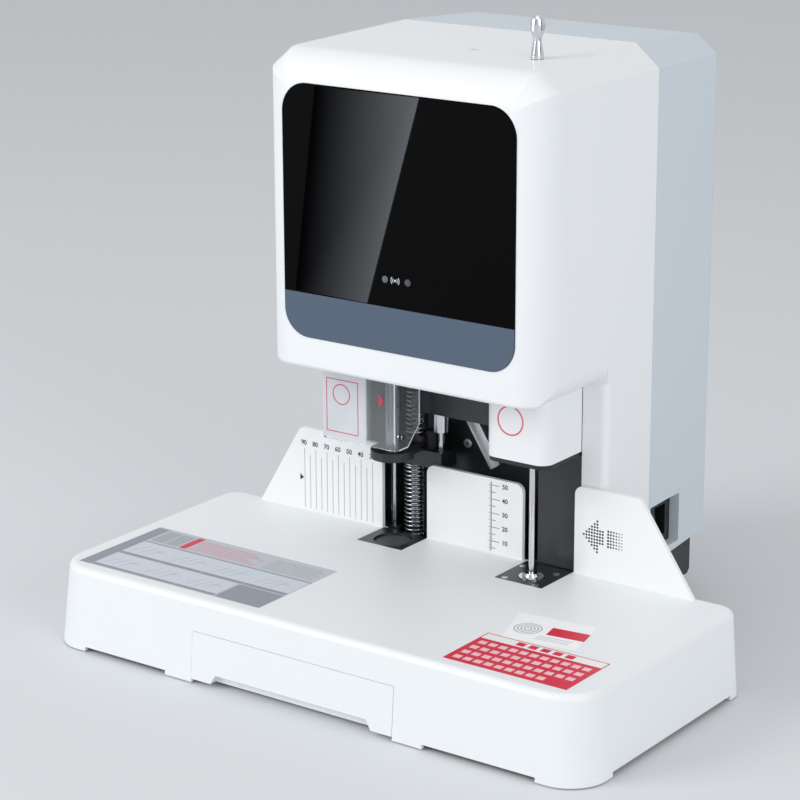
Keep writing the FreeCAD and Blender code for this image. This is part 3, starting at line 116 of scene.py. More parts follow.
# Lamps: a large soft box in front on the left, a smaller one on the right and a weak one above,
# each as its name, place, aim, side in metres and watts
for name, place, aim, size, power in (
        ("left_soft_box", (-1.5, -2.1, 1.5), (0, 0, 0.2), 1.4, 36),
        ("right_soft_box", (2.2, -1.0, 0.9), (0, 0, 0.2), 1.1, 17),
        ("top_soft_box", (0.1, -0.3, 2.2), (0, -0.05, 0), 1.2, 3)):
    bpy.ops.object.light_add(type="AREA", location=place)
    lamp = bpy.context.object
    lamp.name = name
    lamp.data.shape = "SQUARE"
    lamp.data.size = size
    lamp.data.energy = power
    lamp.rotation_euler = (Vector(aim) - Vector(place)).to_track_quat("-Z", "Y").to_euler()

# Camera at the photograph's viewing angle, in front on the right and a little above the head,
# with a long lens, as its place was solved from the scales and the straight edges
camera_place = Vector((0.9657, -1.3835, 0.6655))
yaw, pitch, roll = (math.radians(a) for a in (35.985, 16.424, -0.207))
lens_mm, sensor_mm = 118.53, 36
back = Vector((math.sin(yaw) * math.cos(pitch), -math.cos(yaw) * math.cos(pitch),
               math.sin(pitch)))
right = Vector((math.cos(yaw), math.sin(yaw), 0))
right = Matrix.Rotation(roll, 3, back) @ right
up = back.cross(right)
bpy.ops.object.camera_add()
camera = bpy.context.object
camera.name = "product_camera"
camera.matrix_world = Matrix((
    (right.x, up.x, back.x, camera_place.x), (right.y, up.y, back.y, camera_place.y),
    (right.z, up.z, back.z, camera_place.z), (0, 0, 0, 1)))
camera.data.lens = lens_mm
camera.data.sensor_width = sensor_mm
bpy.context.scene.camera = camera
bpy.context.scene.view_settings.view_transform = "Standard"

# Studio flags: three narrow black cards round the machine, which only reflections see. They give
# the chrome its dark bands. A small lit card in front shows in the touch panel as the slanting
# gleam of the photograph, sharp on its right edge and fading to the left.
panel_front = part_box("display_panel")[0][1]


def only_reflected(card, material):
    """Finish a card and hide it from everything but mirror rays."""
    card.data.materials.append(material)
    for ray in ("camera", "diffuse", "transmission", "volume_scatter", "shadow"):
        setattr(card, "visible_" + ray, False)
    card.select_set(False)


flag_material, tree = new_material("black_flag_felt")
felt = add(tree, "ShaderNodeBsdfDiffuse", {"Color": linear("#050505")})
add(tree, "ShaderNodeOutputMaterial", None, {"Surface": felt.outputs["BSDF"]})
flag_wide, flag_tall = 0.16, 1.1
for name, place, turn in (
        ("left_flag", (-0.75, -0.55, 0.5), 55), ("right_flag", (1.0, 0.1, 0.5), -75),
        ("front_flag", (0.18, -1.3, 0.5), 0)):
    bpy.ops.mesh.primitive_plane_add(size=1, location=place,
                                     rotation=(math.radians(90), 0, math.radians(turn)))
    flag = bpy.context.object
    flag.name = name
    flag.scale = (flag_wide, flag_tall, 1)
    bpy.ops.object.transform_apply(location=True, rotation=True, scale=True)
    only_reflected(flag, flag_material)

gleam_material, tree = new_material("lit_card_fading_left")
across = add(tree, "ShaderNodeTexCoord")
split = add(tree, "ShaderNodeSeparateXYZ", None, {"Vector": across.outputs["UV"]})
fade = add(tree, "ShaderNodeMath", {1: 1.5}, {0: split.outputs["X"]}, operation="POWER")
down = add(tree, "ShaderNodeMapRange", {"To Min": 24.0, "To Max": 34.0},
           {"Value": split.outputs["Y"]})
power = add(tree, "ShaderNodeMath", None, {0: fade.outputs[0], 1: down.outputs["Result"]},
            operation="MULTIPLY")
glow = add(tree, "ShaderNodeEmission", {"Color": linear("#DFE6EE")},
           {"Strength": power.outputs[0]})
add(tree, "ShaderNodeOutputMaterial", None, {"Surface": glow.outputs["Emission"]})
bpy.ops.mesh.primitive_plane_add(size=1, location=(0, 0, 0))
gleam = bpy.context.object
gleam.name = "panel_gleam_card"
# The card lies on the lines from the camera's mirror image through the gleam's corners on the
# panel, here as X and Z in metres, and a share of their length beyond it
mirrored_eye = Vector((camera_place.x, 2 * panel_front - camera_place.y, camera_place.z))
card_reach = 0.35
gleam_corners = ((-0.0820, 0.2443), (-0.0232, 0.2435), (-0.0640, 0.3810), (0.0184, 0.3816))
for vertex, (x, z) in zip(gleam.data.vertices, gleam_corners):
    seen_at = Vector((x, panel_front, z))
    vertex.co = seen_at + card_reach * (seen_at - mirrored_eye)
only_reflected(gleam, gleam_material)


# Moulded covers: cool white ABS with a fine spark-eroded grain and a soft satin sheen, and the
# rear housing in the same plastic, pigmented a pale blue grey.
def moulded_abs(name, colour, roughness):
    """Injection-moulded ABS: an even colour, a grain of about half a millimetre."""
    material, tree = new_material(name)
    coords = add(tree, "ShaderNodeTexCoord")
    grain = add(tree, "ShaderNodeTexNoise", {"Scale": 1900.0, "Detail": 2.0},
                {"Vector": coords.outputs["Object"]})
    drift = add(tree, "ShaderNodeTexNoise", {"Scale": 9.0, "Detail": 2.0},
                {"Vector": coords.outputs["Object"]})
    shade = add(tree, "ShaderNodeMapRange", {"To Min": 0.985, "To Max": 1.0},
                {"Value": drift.outputs["Fac"]})
    hue = add(tree, "ShaderNodeHueSaturation", {"Color": linear(colour)},
              {"Value": shade.outputs["Result"]})
    sheen = add(tree, "ShaderNodeMapRange",
                {"To Min": roughness - 0.03, "To Max": roughness + 0.04},
                {"Value": drift.outputs["Fac"]})
    bump = add(tree, "ShaderNodeBump", {"Strength": 0.12, "Distance": 0.00005},
               {"Height": grain.outputs["Fac"]})
    surface = add(tree, "ShaderNodeBsdfPrincipled", {"IOR": 1.5},
                  {"Base Color": hue.outputs["Color"], "Roughness": sheen.outputs["Result"],
                   "Normal": bump.outputs["Normal"]})
    add(tree, "ShaderNodeOutputMaterial", None, {"Surface": surface.outputs["BSDF"]})
    return material


def finish(material, *names):
    """Give CAD nodes one finish, each over the whole of its surface."""
    for name in names:
        mesh = nodes[name].data
        mesh.materials.clear()
        mesh.materials.append(material)
        for polygon in mesh.polygons:
            polygon.material_index = 0


finish(moulded_abs("white_moulded_abs", "#E9ECEE", 0.42), "base_cover", "front_housing",
       "chip_drawer", "rivet_cover")
finish(moulded_abs("blue_grey_moulded_abs", "#CBD4DC", 0.45), "rear_housing")
finish(moulded_abs("white_port_abs", "#E4E7E9", 0.4), "feed_port", "feed_tube")
finish(moulded_abs("black_moulded_abs", "#17181A", 0.4), "cover_rim", "power_plate",
       "power_inlet", "power_rocker")
finish(moulded_abs("grey_cutting_nylon", "#4A4C4F", 0.55), "cutting_pad")


# Gauge plates: flat steel sheet in a smooth white powder coat, with a faint orange peel. The
# black sheet metal behind the throat has the same coat in satin black.
def powder_coat(name, colour, roughness, peel):
    """Baked powder coat: waves of about a millimetre, and patches rubbed a little smoother."""
    material, tree = new_material(name)
    coords = add(tree, "ShaderNodeTexCoord")
    waves = add(tree, "ShaderNodeTexNoise", {"Scale": 700.0, "Detail": 1.5},
                {"Vector": coords.outputs["Object"]})
    bump = add(tree, "ShaderNodeBump", {"Strength": peel, "Distance": 0.00006},
               {"Height": waves.outputs["Fac"]})
    rub = add(tree, "ShaderNodeTexNoise", {"Scale": 60.0, "Detail": 4.0},
              {"Vector": coords.outputs["Object"]})
    sheen = add(tree, "ShaderNodeMapRange",
                {"To Min": roughness - 0.05, "To Max": roughness + 0.06},
                {"Value": rub.outputs["Fac"]})
    surface = add(tree, "ShaderNodeBsdfPrincipled",
                  {"Base Color": linear(colour), "IOR": 1.5},
                  {"Roughness": sheen.outputs["Result"], "Normal": bump.outputs["Normal"]})
    add(tree, "ShaderNodeOutputMaterial", None, {"Surface": surface.outputs["BSDF"]})
    return material


finish(powder_coat("white_powder_coat", "#EEF0F1", 0.38, 0.15), "left_gauge", "centre_gauge",
       "right_gauge")
finish(powder_coat("satin_black_powder_coat", "#26292C", 0.4, 0.25), "back_frame",
       "rivet_shroud", "front_bracket", "presser_foot", "chassis")
finish(powder_coat("black_motor_enamel", "#141517", 0.35, 0.2), "drill_motor")


# Touch panel: black acrylic, polished, with a slate band printed behind its lower edge. It
# reflects like glass, a little less, and shows a very faint haze.
def gloss_acrylic(name, colour, index):
    """Polished acrylic: its index of refraction sets how strongly it mirrors the room."""
    material, tree = new_material(name)
    coords = add(tree, "ShaderNodeTexCoord")
    haze = add(tree, "ShaderNodeTexNoise", {"Scale": 25.0, "Detail": 3.0},
               {"Vector": coords.outputs["Object"]})
    polish = add(tree, "ShaderNodeMapRange", {"To Min": 0.008, "To Max": 0.02},
                 {"Value": haze.outputs["Fac"]})
    surface = add(tree, "ShaderNodeBsdfPrincipled",
                  {"Base Color": linear(colour), "IOR": index},
                  {"Roughness": polish.outputs["Result"]})
    add(tree, "ShaderNodeOutputMaterial", None, {"Surface": surface.outputs["BSDF"]})
    return material


finish(gloss_acrylic("black_gloss_acrylic", "#030304", 1.13), "display_panel")
finish(gloss_acrylic("slate_gloss_acrylic", "#586576", 1.13), "panel_stripe")


# Metal parts: hard chrome on the needle, knob and die, ground rods, tool steel in the drill,
# zinc plated and stainless sheet, milled aluminium, brass and blued steel. Each shows its own
# tool marks.
def worked_metal(name, colour, roughness, grain, stretch, strength):
    """Metal with fine marks: their size in 1/m and how far they are drawn out along Z."""
    material, tree = new_material(name)
    coords = add(tree, "ShaderNodeTexCoord")
    drawn = add(tree, "ShaderNodeMapping", {"Scale": (1.0, 1.0, stretch)},
                {"Vector": coords.outputs["Object"]})
    marks = add(tree, "ShaderNodeTexNoise", {"Scale": grain, "Detail": 3.0},
                {"Vector": drawn.outputs["Vector"]})
    sheen = add(tree, "ShaderNodeMapRange",
                {"To Min": roughness * 0.8, "To Max": roughness * 1.25},
                {"Value": marks.outputs["Fac"]})
    bump = add(tree, "ShaderNodeBump", {"Strength": strength, "Distance": 0.00003},
               {"Height": marks.outputs["Fac"]})
    surface = add(tree, "ShaderNodeBsdfPrincipled",
                  {"Base Color": linear(colour), "Metallic": 1.0},
                  {"Roughness": sheen.outputs["Result"], "Normal": bump.outputs["Normal"]})
    add(tree, "ShaderNodeOutputMaterial", None, {"Surface": surface.outputs["BSDF"]})
    return material


finish(worked_metal("hard_chrome", "#D8DADD", 0.08, 500.0, 0.2, 0.05), "guide_needle",
       "needle_knob", "lower_die")
finish(worked_metal("ground_chrome_rod", "#D3D6DA", 0.2, 500.0, 0.2, 0.08), "left_column",
       "right_column", "spring_rod", "presser_bush")
finish(worked_metal("ground_tool_steel", "#8E9093", 0.28, 900.0, 6.0, 0.2), "drill_spindle",
       "drill_chuck", "hollow_bit", "hot_ram", "motor_shaft")
finish(worked_metal("zinc_plated_steel", "#BFC2C5", 0.3, 400.0, 1.0, 0.1), "bed_frame",
       "drawer_rails", "ram_posts", "guard_screws", "plate_screws")
finish(worked_metal("bright_stainless", "#EDEFF1", 0.42, 700.0, 0.3, 0.12), "tube_chute")
finish(worked_metal("milled_aluminium", "#BFC1C4", 0.34, 800.0, 5.0, 0.25), "drill_carriage",
       "ram_slider", "spindle_pulley", "motor_pulley")
finish(worked_metal("turned_brass", "#C7A35C", 0.25, 700.0, 5.0, 0.15), "needle_bush",
       "inlet_pins")
finish(worked_metal("blued_station_steel", "#55585C", 0.4, 650.0, 1.0, 0.35), "drill_plate",
       "rivet_plate")


# Rubber: moulded pads and the buffer, and the ribbed belt, dull black with a fine bloom.
rubber, tree = new_material("dull_black_rubber")
coords = add(tree, "ShaderNodeTexCoord")
bloom = add(tree, "ShaderNodeTexNoise", {"Scale": 300.0, "Detail": 4.0},
            {"Vector": coords.outputs["Object"]})
dust = add(tree, "ShaderNodeValToRGB", None, {"Fac": bloom.outputs["Fac"]})
dust.color_ramp.elements[0].color = linear("#151516")
dust.color_ramp.elements[1].color = linear("#222223")
surface = add(tree, "ShaderNodeBsdfPrincipled", {"Roughness": 0.75, "IOR": 1.5},
              {"Base Color": dust.outputs["Color"]})
add(tree, "ShaderNodeOutputMaterial", None, {"Surface": surface.outputs["BSDF"]})
finish(rubber, "rubber_feet", "foot_buffer", "drive_belt")


# Guard: clear acrylic sheet, bent hot over a bar, with a faint cool tint and the soft haze of
# a surface that is wiped often.
clear, tree = new_material("clear_bent_acrylic")
coords = add(tree, "ShaderNodeTexCoord")
wipe = add(tree, "ShaderNodeTexNoise", {"Scale": 40.0, "Detail": 3.0},
           {"Vector": coords.outputs["Object"]})
haze = add(tree, "ShaderNodeMapRange", {"To Min": 0.03, "To Max": 0.09},
           {"Value": wipe.outputs["Fac"]})
surface = add(tree, "ShaderNodeBsdfPrincipled",
              {"Base Color": linear("#E6ECEF"), "Transmission Weight": 0.92, "IOR": 1.49},
              {"Roughness": haze.outputs["Result"]})
add(tree, "ShaderNodeOutputMaterial", None, {"Surface": surface.outputs["BSDF"]})
finish(clear, "drill_guard")


# Springs: two compression springs of dark drawn wire on the spring rod. The lower one lifts
# the presser foot back, the upper one passes the head's push on to it. Both close up as the
# head goes down; here both are built once, at their full length.
def as_mesh(name, curve):
    """Turn a curve or text into a mesh piece, which stays selected and active."""
    piece = bpy.data.objects.new(name, curve)
    bpy.context.collection.objects.link(piece)
    bpy.context.view_layer.objects.active = piece
    piece.select_set(True)
    bpy.ops.object.convert(target="MESH")
    return bpy.context.object


def coil(name, middle, radius, wire, low, high, turns):
    """A spring of wire of that radius: open turns in the middle, closed ones at both ends."""
    steps, closed = 20, 1.2
    curve = bpy.data.curves.new(name, "CURVE")
    curve.dimensions = "3D"
    curve.bevel_depth = wire
    curve.bevel_resolution = 2
    curve.use_fill_caps = True
    spline = curve.splines.new("POLY")
    spline.points.add(int(turns * steps))
    ends = 2 * wire
    free = (high - low - 2 * wire - 2 * ends * closed) / (turns - 2 * closed)
    for index, point in enumerate(spline.points):
        turn = index / steps
        shut = min(turn, closed) + max(0.0, turn - (turns - closed))
        height = low + wire + ends * shut + free * (turn - shut)
        angle = 2 * math.pi * turn
        point.co = (middle[0] + radius * math.cos(angle), middle[1] + radius * math.sin(angle),
                    height, 1)
    spring = as_mesh(name, curve)
    bpy.ops.object.shade_smooth()
    spring.select_set(False)
    return spring


def middle_of(node):
    low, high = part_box(node)
    return [(near + far) / 2 for near, far in zip(low, high)]


spring_wire = worked_metal("dark_spring_wire", "#9A9DA1", 0.24, 1200.0, 1.0, 0.1)
wire_radius = 0.0009
drill_stroke, presser_stroke = 0.0653, 0.0577
for name, node, turns, lost in (
        ("lower_return_spring", "lower_spring", 34, presser_stroke),
        ("upper_push_spring", "upper_spring", 30, drill_stroke - presser_stroke)):
    low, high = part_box(node)
    outer, length = (high[0] - low[0]) / 2, high[2] - low[2]
    spring = coil(name, middle_of(node), outer - wire_radius, wire_radius, low[2], high[2],
                  turns)
    spring.data.materials.append(spring_wire)
    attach(spring, "machine" if node == "lower_spring" else "presser")
    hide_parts(node)
    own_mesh(spring)


# Printed matter: screen ink, or a thin film, on the flat faces. Each piece is cut from closed
# outlines in millimetres, where an outline inside another is a hole, and is 0.06 mm thick.
film_thick = 0.00006
upright = math.radians(90)
front_face, side_face, table_face = (upright, 0, 0), (upright, 0, upright), (0, 0, 0)


def ink(name, colour, roughness=0.5):
    """Screen ink: even, slightly matt, with the faint mottle of the mesh."""
    material, tree = new_material(name)
    coords = add(tree, "ShaderNodeTexCoord")
    mottle = add(tree, "ShaderNodeTexNoise", {"Scale": 1500.0, "Detail": 2.0},
                 {"Vector": coords.outputs["Object"]})
    shade = add(tree, "ShaderNodeMapRange", {"To Min": 0.94, "To Max": 1.04},
                {"Value": mottle.outputs["Fac"]})
    hue = add(tree, "ShaderNodeHueSaturation", {"Color": linear(colour)},
              {"Value": shade.outputs["Result"]})
    surface = add(tree, "ShaderNodeBsdfPrincipled", {"Roughness": roughness, "IOR": 1.5},
                  {"Base Color": hue.outputs["Color"]})
    add(tree, "ShaderNodeOutputMaterial", None, {"Surface": surface.outputs["BSDF"]})
    return material


def settle(piece, material, facing, level):
    """Lay a flat mesh on its face and fix it to the machine."""
    bpy.context.view_layer.objects.active = piece
    piece.select_set(True)
    piece.data.materials.clear()
    piece.data.materials.append(material)
    piece.rotation_euler = facing
    piece.location = {front_face: (0, level, 0), side_face: (level, 0, 0),
                      table_face: (0, 0, level)}[facing]
    bpy.ops.object.transform_apply(location=True, rotation=True, scale=True)
    piece.select_set(False)
    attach(piece, "machine")


def printed(name, material, facing, level, outlines):
    """Ink or film on a face: outlines in mm, as X and Z in front, X and Y on top, Y and Z aside."""
    curve = bpy.data.curves.new(name, "CURVE")
    curve.dimensions = "2D"
    curve.fill_mode = "BOTH"
    curve.extrude = film_thick / 2
    for outline in outlines:
        spline = curve.splines.new("POLY")
        spline.points.add(len(outline) - 1)
        for point, (across, along) in zip(spline.points, outline):
            point.co = (across / 1000, along / 1000, 0, 1)
        spline.use_cyclic_u = True
    settle(as_mesh(name, curve), material, facing, level)


def bar(left, low, right, high):
    return [(left, low), (right, low), (right, high), (left, high)]


def disc(across, along, radius, sides=40):
    return [(across + radius * math.cos(2 * math.pi * k / sides),
             along + radius * math.sin(2 * math.pi * k / sides)) for k in range(sides)]


def numbers(name, material, level, size, places):
    """Plain numbers of one scale, joined in one piece: (text, X, Z) in mm."""
    pieces = []
    for text, across, height in places:
        lettering = bpy.data.curves.new(name, "FONT")
        lettering.body = text
        lettering.size = size / 1000
        lettering.align_x = "CENTER"
        lettering.align_y = "CENTER"
        lettering.extrude = film_thick / 2
        lettering.offset = 0.00008
        piece = as_mesh(name, lettering)
        piece.location = (across / 1000, height / 1000, 0)
        bpy.ops.object.transform_apply(location=True, rotation=False, scale=False)
        piece.select_set(False)
        pieces.append(piece)
    for piece in pieces:
        piece.select_set(True)
    bpy.context.view_layer.objects.active = pieces[0]
    bpy.ops.object.join()
    whole = bpy.context.object
    whole.name = name
    settle(whole, material, front_face, level)


black_ink = ink("black_screen_ink", "#1C1D20")
gauge_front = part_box("left_gauge")[0][1] - film_thick
table_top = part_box("base_cover")[1][2] + film_thick

# Left scale: a line every 5 mm from 90 down to 30, the tens longer and numbered above
scale_start, scale_step, line_wide, line_foot = -138.0, 5.0, 0.42, 60.0
tens_top, fives_top, number_height = 104.4, 99.6, 108.2
lines = []
for index in range(13):
    across = scale_start + index * scale_step
    top = tens_top if index % 2 == 0 else fives_top
    lines.append(bar(across - line_wide / 2, line_foot, across + line_wide / 2, top))
printed("left_scale_lines", ink("grey_screen_ink", "#A4A7AB"), front_face, gauge_front, lines)
numbers("left_scale_numbers", black_ink, gauge_front, 4.9,
        [(str(90 - 10 * k), scale_start - 0.5 + 2 * scale_step * k, number_height)
         for k in range(7)])
printed("left_scale_pointer", black_ink, front_face, gauge_front,
        [[(-142.2, 84.6), (-138.9, 82.2), (-142.2, 79.8)]])

# Middle scale: a rule in millimetres beside the needle, numbered every 10 mm from 10 to 50
rule_x, rule_zero, rule_top, numbers_x = 22.0, 57.1, 109.5, 33.0
ticks = [bar(rule_x - 0.25, line_foot, rule_x + 0.25, rule_top)]
for step in range(3, 52):
    height = rule_zero + step
    left = rule_x - (2.2 if step % 5 == 0 else 1.3)
    ticks.append(bar(left, height - 0.16, rule_x - 0.3, height + 0.16))
    if step % 5 == 0:
        right = rule_x + (6.6 if step % 10 == 0 else 3.6)
        ticks.append(bar(rule_x + 0.3, height - 0.22, right, height + 0.22))
printed("middle_scale_lines", ink("slate_screen_ink", "#6E7278"), front_face, gauge_front, ticks)
numbers("middle_scale_numbers", black_ink, gauge_front, 4.6,
        [(str(10 * k), numbers_x, rule_zero + 10 * k) for k in range(1, 6)])

# Right plate: an arrow of dots that points to the needle. Its head widens for six columns, two
# more make its neck, and its tail fades out.
pitch, row_pitch, tip, arrow_middle, dot_radius = 2.1, 2.142, 95.8, 87.0, 0.78
dots = []
for column in range(8):
    reach = column if column < 6 else 2
    for row in range(-reach, reach + 1):
        dots.append(disc(tip + pitch * column, arrow_middle + row_pitch * row, dot_radius, 10))
for column in range(9, 15):
    for row in range(-2, 4):
        dots.append(disc(tip + pitch * column, arrow_middle + row_pitch * (row - 0.5),
                         0.82 - 0.08 * (column - 9), 10))
printed("dotted_arrow", black_ink, front_face, gauge_front, dots)

# Film on the left of the table: silver grey polyester with pale panels, slate bars, thin sketch
# lines, and a red tab with faint lines beside it. Its print stands a film's thickness higher.
film_gloss = 0.42
level = table_top
printed("left_film", ink("silver_grey_film", "#BDC1C8", film_gloss), table_face, level,
        [bar(-197, -152.25, -41.5, -68.25)])
level += film_thick
printed("left_film_panels", ink("pale_blue_film_print", "#CBD1DA", film_gloss), table_face,
        level, [bar(-186.4, -147.6, -81.0, -125.0), bar(-186.4, -120.2, -42.6, -97.4)])
printed("left_film_bars", ink("slate_film_print", "#8C929B", film_gloss), table_face, level,
        [bar(-197, -152.0, -187.2, -70.0)]
        + [bar(left, -151.25, right, -148.25) for left, right in (
            (-186.6, -151.0), (-150.2, -115.7), (-114.9, -80.4))]
        + [bar(left, -124.25, right, -120.75) for left, right in (
            (-186.6, -151.2), (-150.4, -115.2), (-114.4, -78.9), (-78.1, -42.8))]
        + [bar(-79, -151.5, -41.8, -125.6), bar(-187, -97.2, -41.6, -95.7)])
sketch = []
for base, panels in ((-144.5, 3), (-117.0, 4)):
    for panel in range(panels):
        left = -182.0 + 36.0 * panel
        for rib in range(3):
            sketch.append([(left + 7 * rib, base), (left + 7 * rib + 0.5, base),
                           (left + 7 * rib + 6.5, base + 13), (left + 7 * rib + 6.0, base + 13)])
        sketch.append(bar(left - 2, base + 5.5, left - 0.6, base + 6.0))
        sketch.append(bar(left + 16.5, base + 8.0, left + 25.0, base + 8.6))
printed("left_film_sketches", ink("thin_slate_print", "#A9AFB8", film_gloss), table_face,
        level + film_thick, sketch)
red_film = ink("red_film_print", "#D5203F", film_gloss)
printed("left_film_red", red_film, table_face, level, [bar(-159.5, -93.25, -153.8, -70.65)])
rows = [(k, -91.5 + 3.2 * k) for k in range(6)]
printed("left_film_red_lines", ink("faded_red_print", "#CF8E9B", film_gloss), table_face,
        level, [bar(-151.5, low, -94.0 - 6 * (k % 3), low + 1.1) for k, low in rows])
printed("left_film_grey_lines", ink("faded_grey_print", "#A2A7AE", film_gloss), table_face,
        level, [bar(-88.0, low, -45.0 - 4 * (k % 2), low + 1.0) for k, low in rows]
        + [bar(left, -93.0, left + 11.0, -72.0) for left in (-185.0, -172.5)])

# Red film on the right of the table: white polyester, printed red round a white heading, with
# rows of pale blocks
red_edge, heading = (103.0, -152.25, 192.8, -102.25), (103.8, -111.45, 192.0, -103.05)
level = table_top
printed("right_film_white", ink("white_film", "#ECEEEF", film_gloss), table_face, level,
        [bar(*red_edge)])
level += film_thick
printed("right_film_red", red_film, table_face, level,
        [bar(*red_edge), bar(*heading)])
blocks = []
for row, columns in enumerate((11, 11, 11, 9)):
    height = -120.4 - 9.2 * row
    for column in range(columns):
        start = 107.0 + 7.6 * column
        blocks.append(bar(start, height, start + 5.4, height + 4.8))
printed("right_film_blocks", ink("pale_pink_film_print", "#F0C3CB", film_gloss), table_face,
        level + film_thick, blocks)
printed("right_film_title", red_film, table_face, level,
        [bar(128 + 9 * k, -109.6, 134 + 9 * k, -104.3) for k in range(5)])

# Paper sticker behind it, laid on a little askew: white, with grey rings, a red field and three
# pale lines. Where its near corner crosses the film's edge, it lies between the white and the red.
paper_gloss = 0.6
level = table_top + film_thick * 0.3
printed("white_sticker", ink("white_paper_label", "#F3F4F4", paper_gloss), table_face, level,
        [[(113.1, -103.6), (163.7, -96.3), (154.3, -55.65), (99.3, -60.35)]])
level += film_thick
rings = []
for k in range(4):
    rings += [disc(119.5, -81.8, 9.2 - 2.2 * k), disc(119.5, -81.8, 8.4 - 2.2 * k)]
printed("sticker_rings", ink("blue_grey_label_print", "#A5ADB4", paper_gloss), table_face,
        level, rings)
printed("sticker_red", red_film, table_face, level,
        [[(134.4, -84.25), (160.4, -81.0), (157.6, -68.6), (131.9, -71.6)]])
printed("sticker_lines", ink("pale_label_print", "#C4C8CC", paper_gloss), table_face, level,
        [[(132.0, y), (155.0, y + 2.7), (154.8, y + 3.5), (131.8, y + 0.8)]
         for y in (-89.0, -91.6, -94.2)])

# Guard print: a milky film on the guard's front, with a thin red frame, ring and pointer over it
guard_low, guard_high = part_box("drill_guard")
film, tree = new_material("milky_guard_film")
coords = add(tree, "ShaderNodeTexCoord")
cloud = add(tree, "ShaderNodeTexNoise", {"Scale": 60.0, "Detail": 2.0},
            {"Vector": coords.outputs["Object"]})
cover = add(tree, "ShaderNodeMapRange", {"To Min": 0.62, "To Max": 0.74},
            {"Value": cloud.outputs["Fac"]})
surface = add(tree, "ShaderNodeBsdfPrincipled",
              {"Base Color": linear("#E3E6EA"), "Roughness": 0.35, "IOR": 1.5},
              {"Alpha": cover.outputs["Result"]})
add(tree, "ShaderNodeOutputMaterial", None, {"Surface": surface.outputs["BSDF"]})
guard_front = guard_low[1] - film_thick / 2
printed("guard_film", film, front_face, guard_front, [bar(-90.0, 132.0, -54.0, 190.0)])
red_ink = ink("red_screen_ink", "#D5304C")

# Painted highlight on the guard: a thin bright strip on the right wall's lower edge, its slanting
# corner and the upright behind it stands in for the light these edges catch. Sizes are in mm.
edge_highlight_paint, tree = new_material("painted_edge_highlight")
coords = add(tree, "ShaderNodeTexCoord")
highlight_grain = add(tree, "ShaderNodeTexNoise", {"Scale": 900.0, "Detail": 2.0},
          {"Vector": coords.outputs["Object"]})
bright = add(tree, "ShaderNodeMapRange", {"To Min": 0.3, "To Max": 0.5},
             {"Value": highlight_grain.outputs["Fac"]})
surface = add(tree, "ShaderNodeBsdfPrincipled",
              {"Base Color": linear("#F6F8FA"), "IOR": 1.49},
              {"Roughness": bright.outputs["Result"]})
add(tree, "ShaderNodeOutputMaterial", None, {"Surface": surface.outputs["BSDF"]})
edge, notch, bend_reach = 0.9, 14.0, 3.5
near_y, far_y = guard_low[1] * 1000 + bend_reach, guard_high[1] * 1000
low_z, high_z = guard_low[2] * 1000, 189.0
printed("guard_painted_edge_highlight", edge_highlight_paint, side_face, guard_high[0] + film_thick / 2,
        [[(near_y, low_z), (far_y - notch, low_z), (far_y, low_z + notch), (far_y, high_z),
          (far_y - edge, high_z), (far_y - edge, low_z + notch + edge * 0.4),
          (far_y - notch - edge * 0.4, low_z + edge), (near_y, low_z + edge)]])
printed("guard_frame", red_ink, front_face, guard_front - film_thick,
        [bar(-87.0, 136.7, -60.0, 174.4), bar(-86.4, 137.3, -60.6, 173.8),
         disc(-74.2, 164.0, 7.3), disc(-74.2, 164.0, 6.6)])
printed("guard_pointer", red_ink, front_face, guard_front - film_thick,
        [[(-42.8, 169.6), (-38.6, 165.0), (-42.8, 160.4)]])

# Cover print: a plain ring on the front of the rivet cover, in a softer red
cover_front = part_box("rivet_cover")[0][1] - film_thick / 2
printed("cover_ring", ink("soft_red_screen_ink", "#DE5468"), front_face, cover_front,
        [disc(63.3, 169.4, radius, 56) for radius in (10.2, 9.1)])

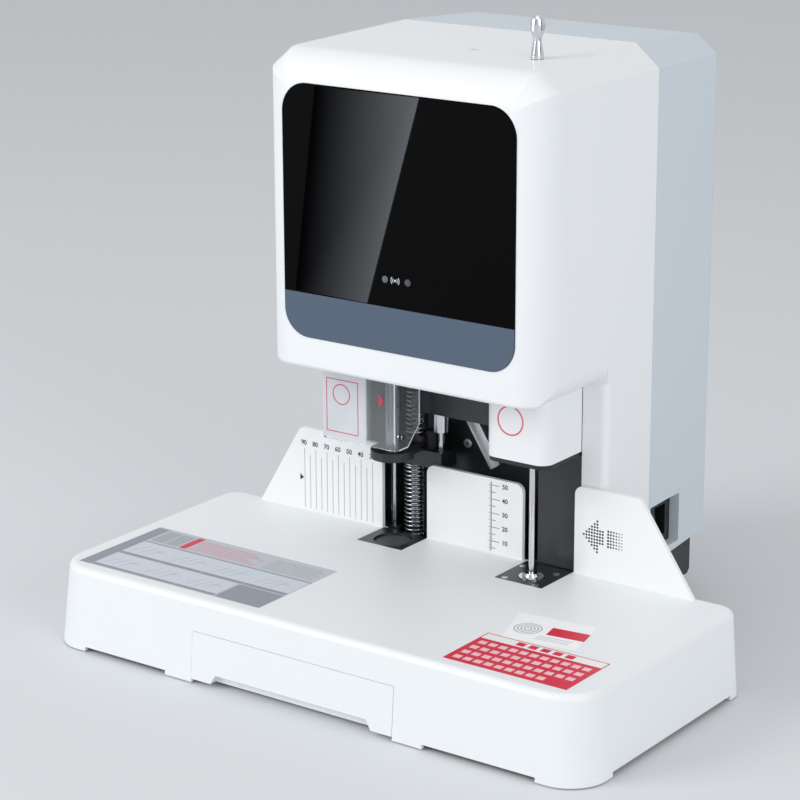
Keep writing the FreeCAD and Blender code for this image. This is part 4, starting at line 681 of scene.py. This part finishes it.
# Panel print: the touch point, a dot between two pairs of arcs, and a dim lamp on each side
panel_level = panel_front - film_thick / 2
icon_x, icon_z, arc_wide = -0.7, 261.4, 0.5
arcs = [disc(icon_x, icon_z, 0.8, 16)]
swing = [math.radians(angle) for angle in range(-42, 43, 12)]
for side in (-1, 1):
    for radius in (2.1, 3.5):
        arcs.append([(icon_x + side * reach * math.cos(a), icon_z + reach * math.sin(a))
                     for reach, angles in ((radius, swing), (radius - arc_wide, swing[::-1]))
                     for a in angles])
printed("touch_icon", ink("pale_icon_ink", "#C9D0D8"), front_face, panel_level, arcs)
printed("dim_lamps", ink("smoked_lamp_lens", "#16191C", 0.2), front_face, panel_level,
        [disc(-8.7, icon_z, 2.3, 24), disc(9.2, icon_z, 2.3, 24)])


# Throat screw: zinc plated, pressed from wire with a rounded head and a cross recess, and driven
# into the frame behind the throat. It catches what light there is, so it shows bright.
low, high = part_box("frame_screw")
radius, rise = (high[0] - low[0]) / 2, high[1] - low[1]
bpy.ops.mesh.primitive_cylinder_add(vertices=32, radius=radius, depth=rise,
                                    location=(0, 0, rise / 2))
head = bpy.context.object
head.name = "throat_screw"
rounding = head.modifiers.new("rounding", "BEVEL")
rounding.width = min(rise * 0.45, radius * 0.3)
rounding.segments = 3
rounding.limit_method = "ANGLE"
bpy.ops.object.modifier_apply(modifier=rounding.name)
for turn in (45, 135):
    bpy.ops.mesh.primitive_cube_add(size=1, location=(0, 0, rise),
                                    rotation=(0, 0, math.radians(turn)))
    cutter = bpy.context.object
    cutter.scale = (radius * 1.15, radius * 0.28, rise)
    bpy.context.view_layer.objects.active = head
    recess = head.modifiers.new("recess", "BOOLEAN")
    recess.object = cutter
    recess.operation = "DIFFERENCE"
    recess.solver = "EXACT"
    bpy.ops.object.modifier_apply(modifier=recess.name)
    bpy.data.objects.remove(cutter, do_unlink=True)
head.select_set(True)
head.rotation_euler = front_face
head.location = (middle_of("frame_screw")[0], high[1], middle_of("frame_screw")[2])
bpy.ops.object.transform_apply(location=True, rotation=True, scale=True)
bpy.ops.object.shade_smooth_by_angle(angle=math.radians(35))
head.select_set(False)
head.data.materials.append(
    worked_metal("bright_zinc_screw", "#F2F3F4", 0.5, 600.0, 1.0, 0.1))
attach(head, "machine")
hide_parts("frame_screw")
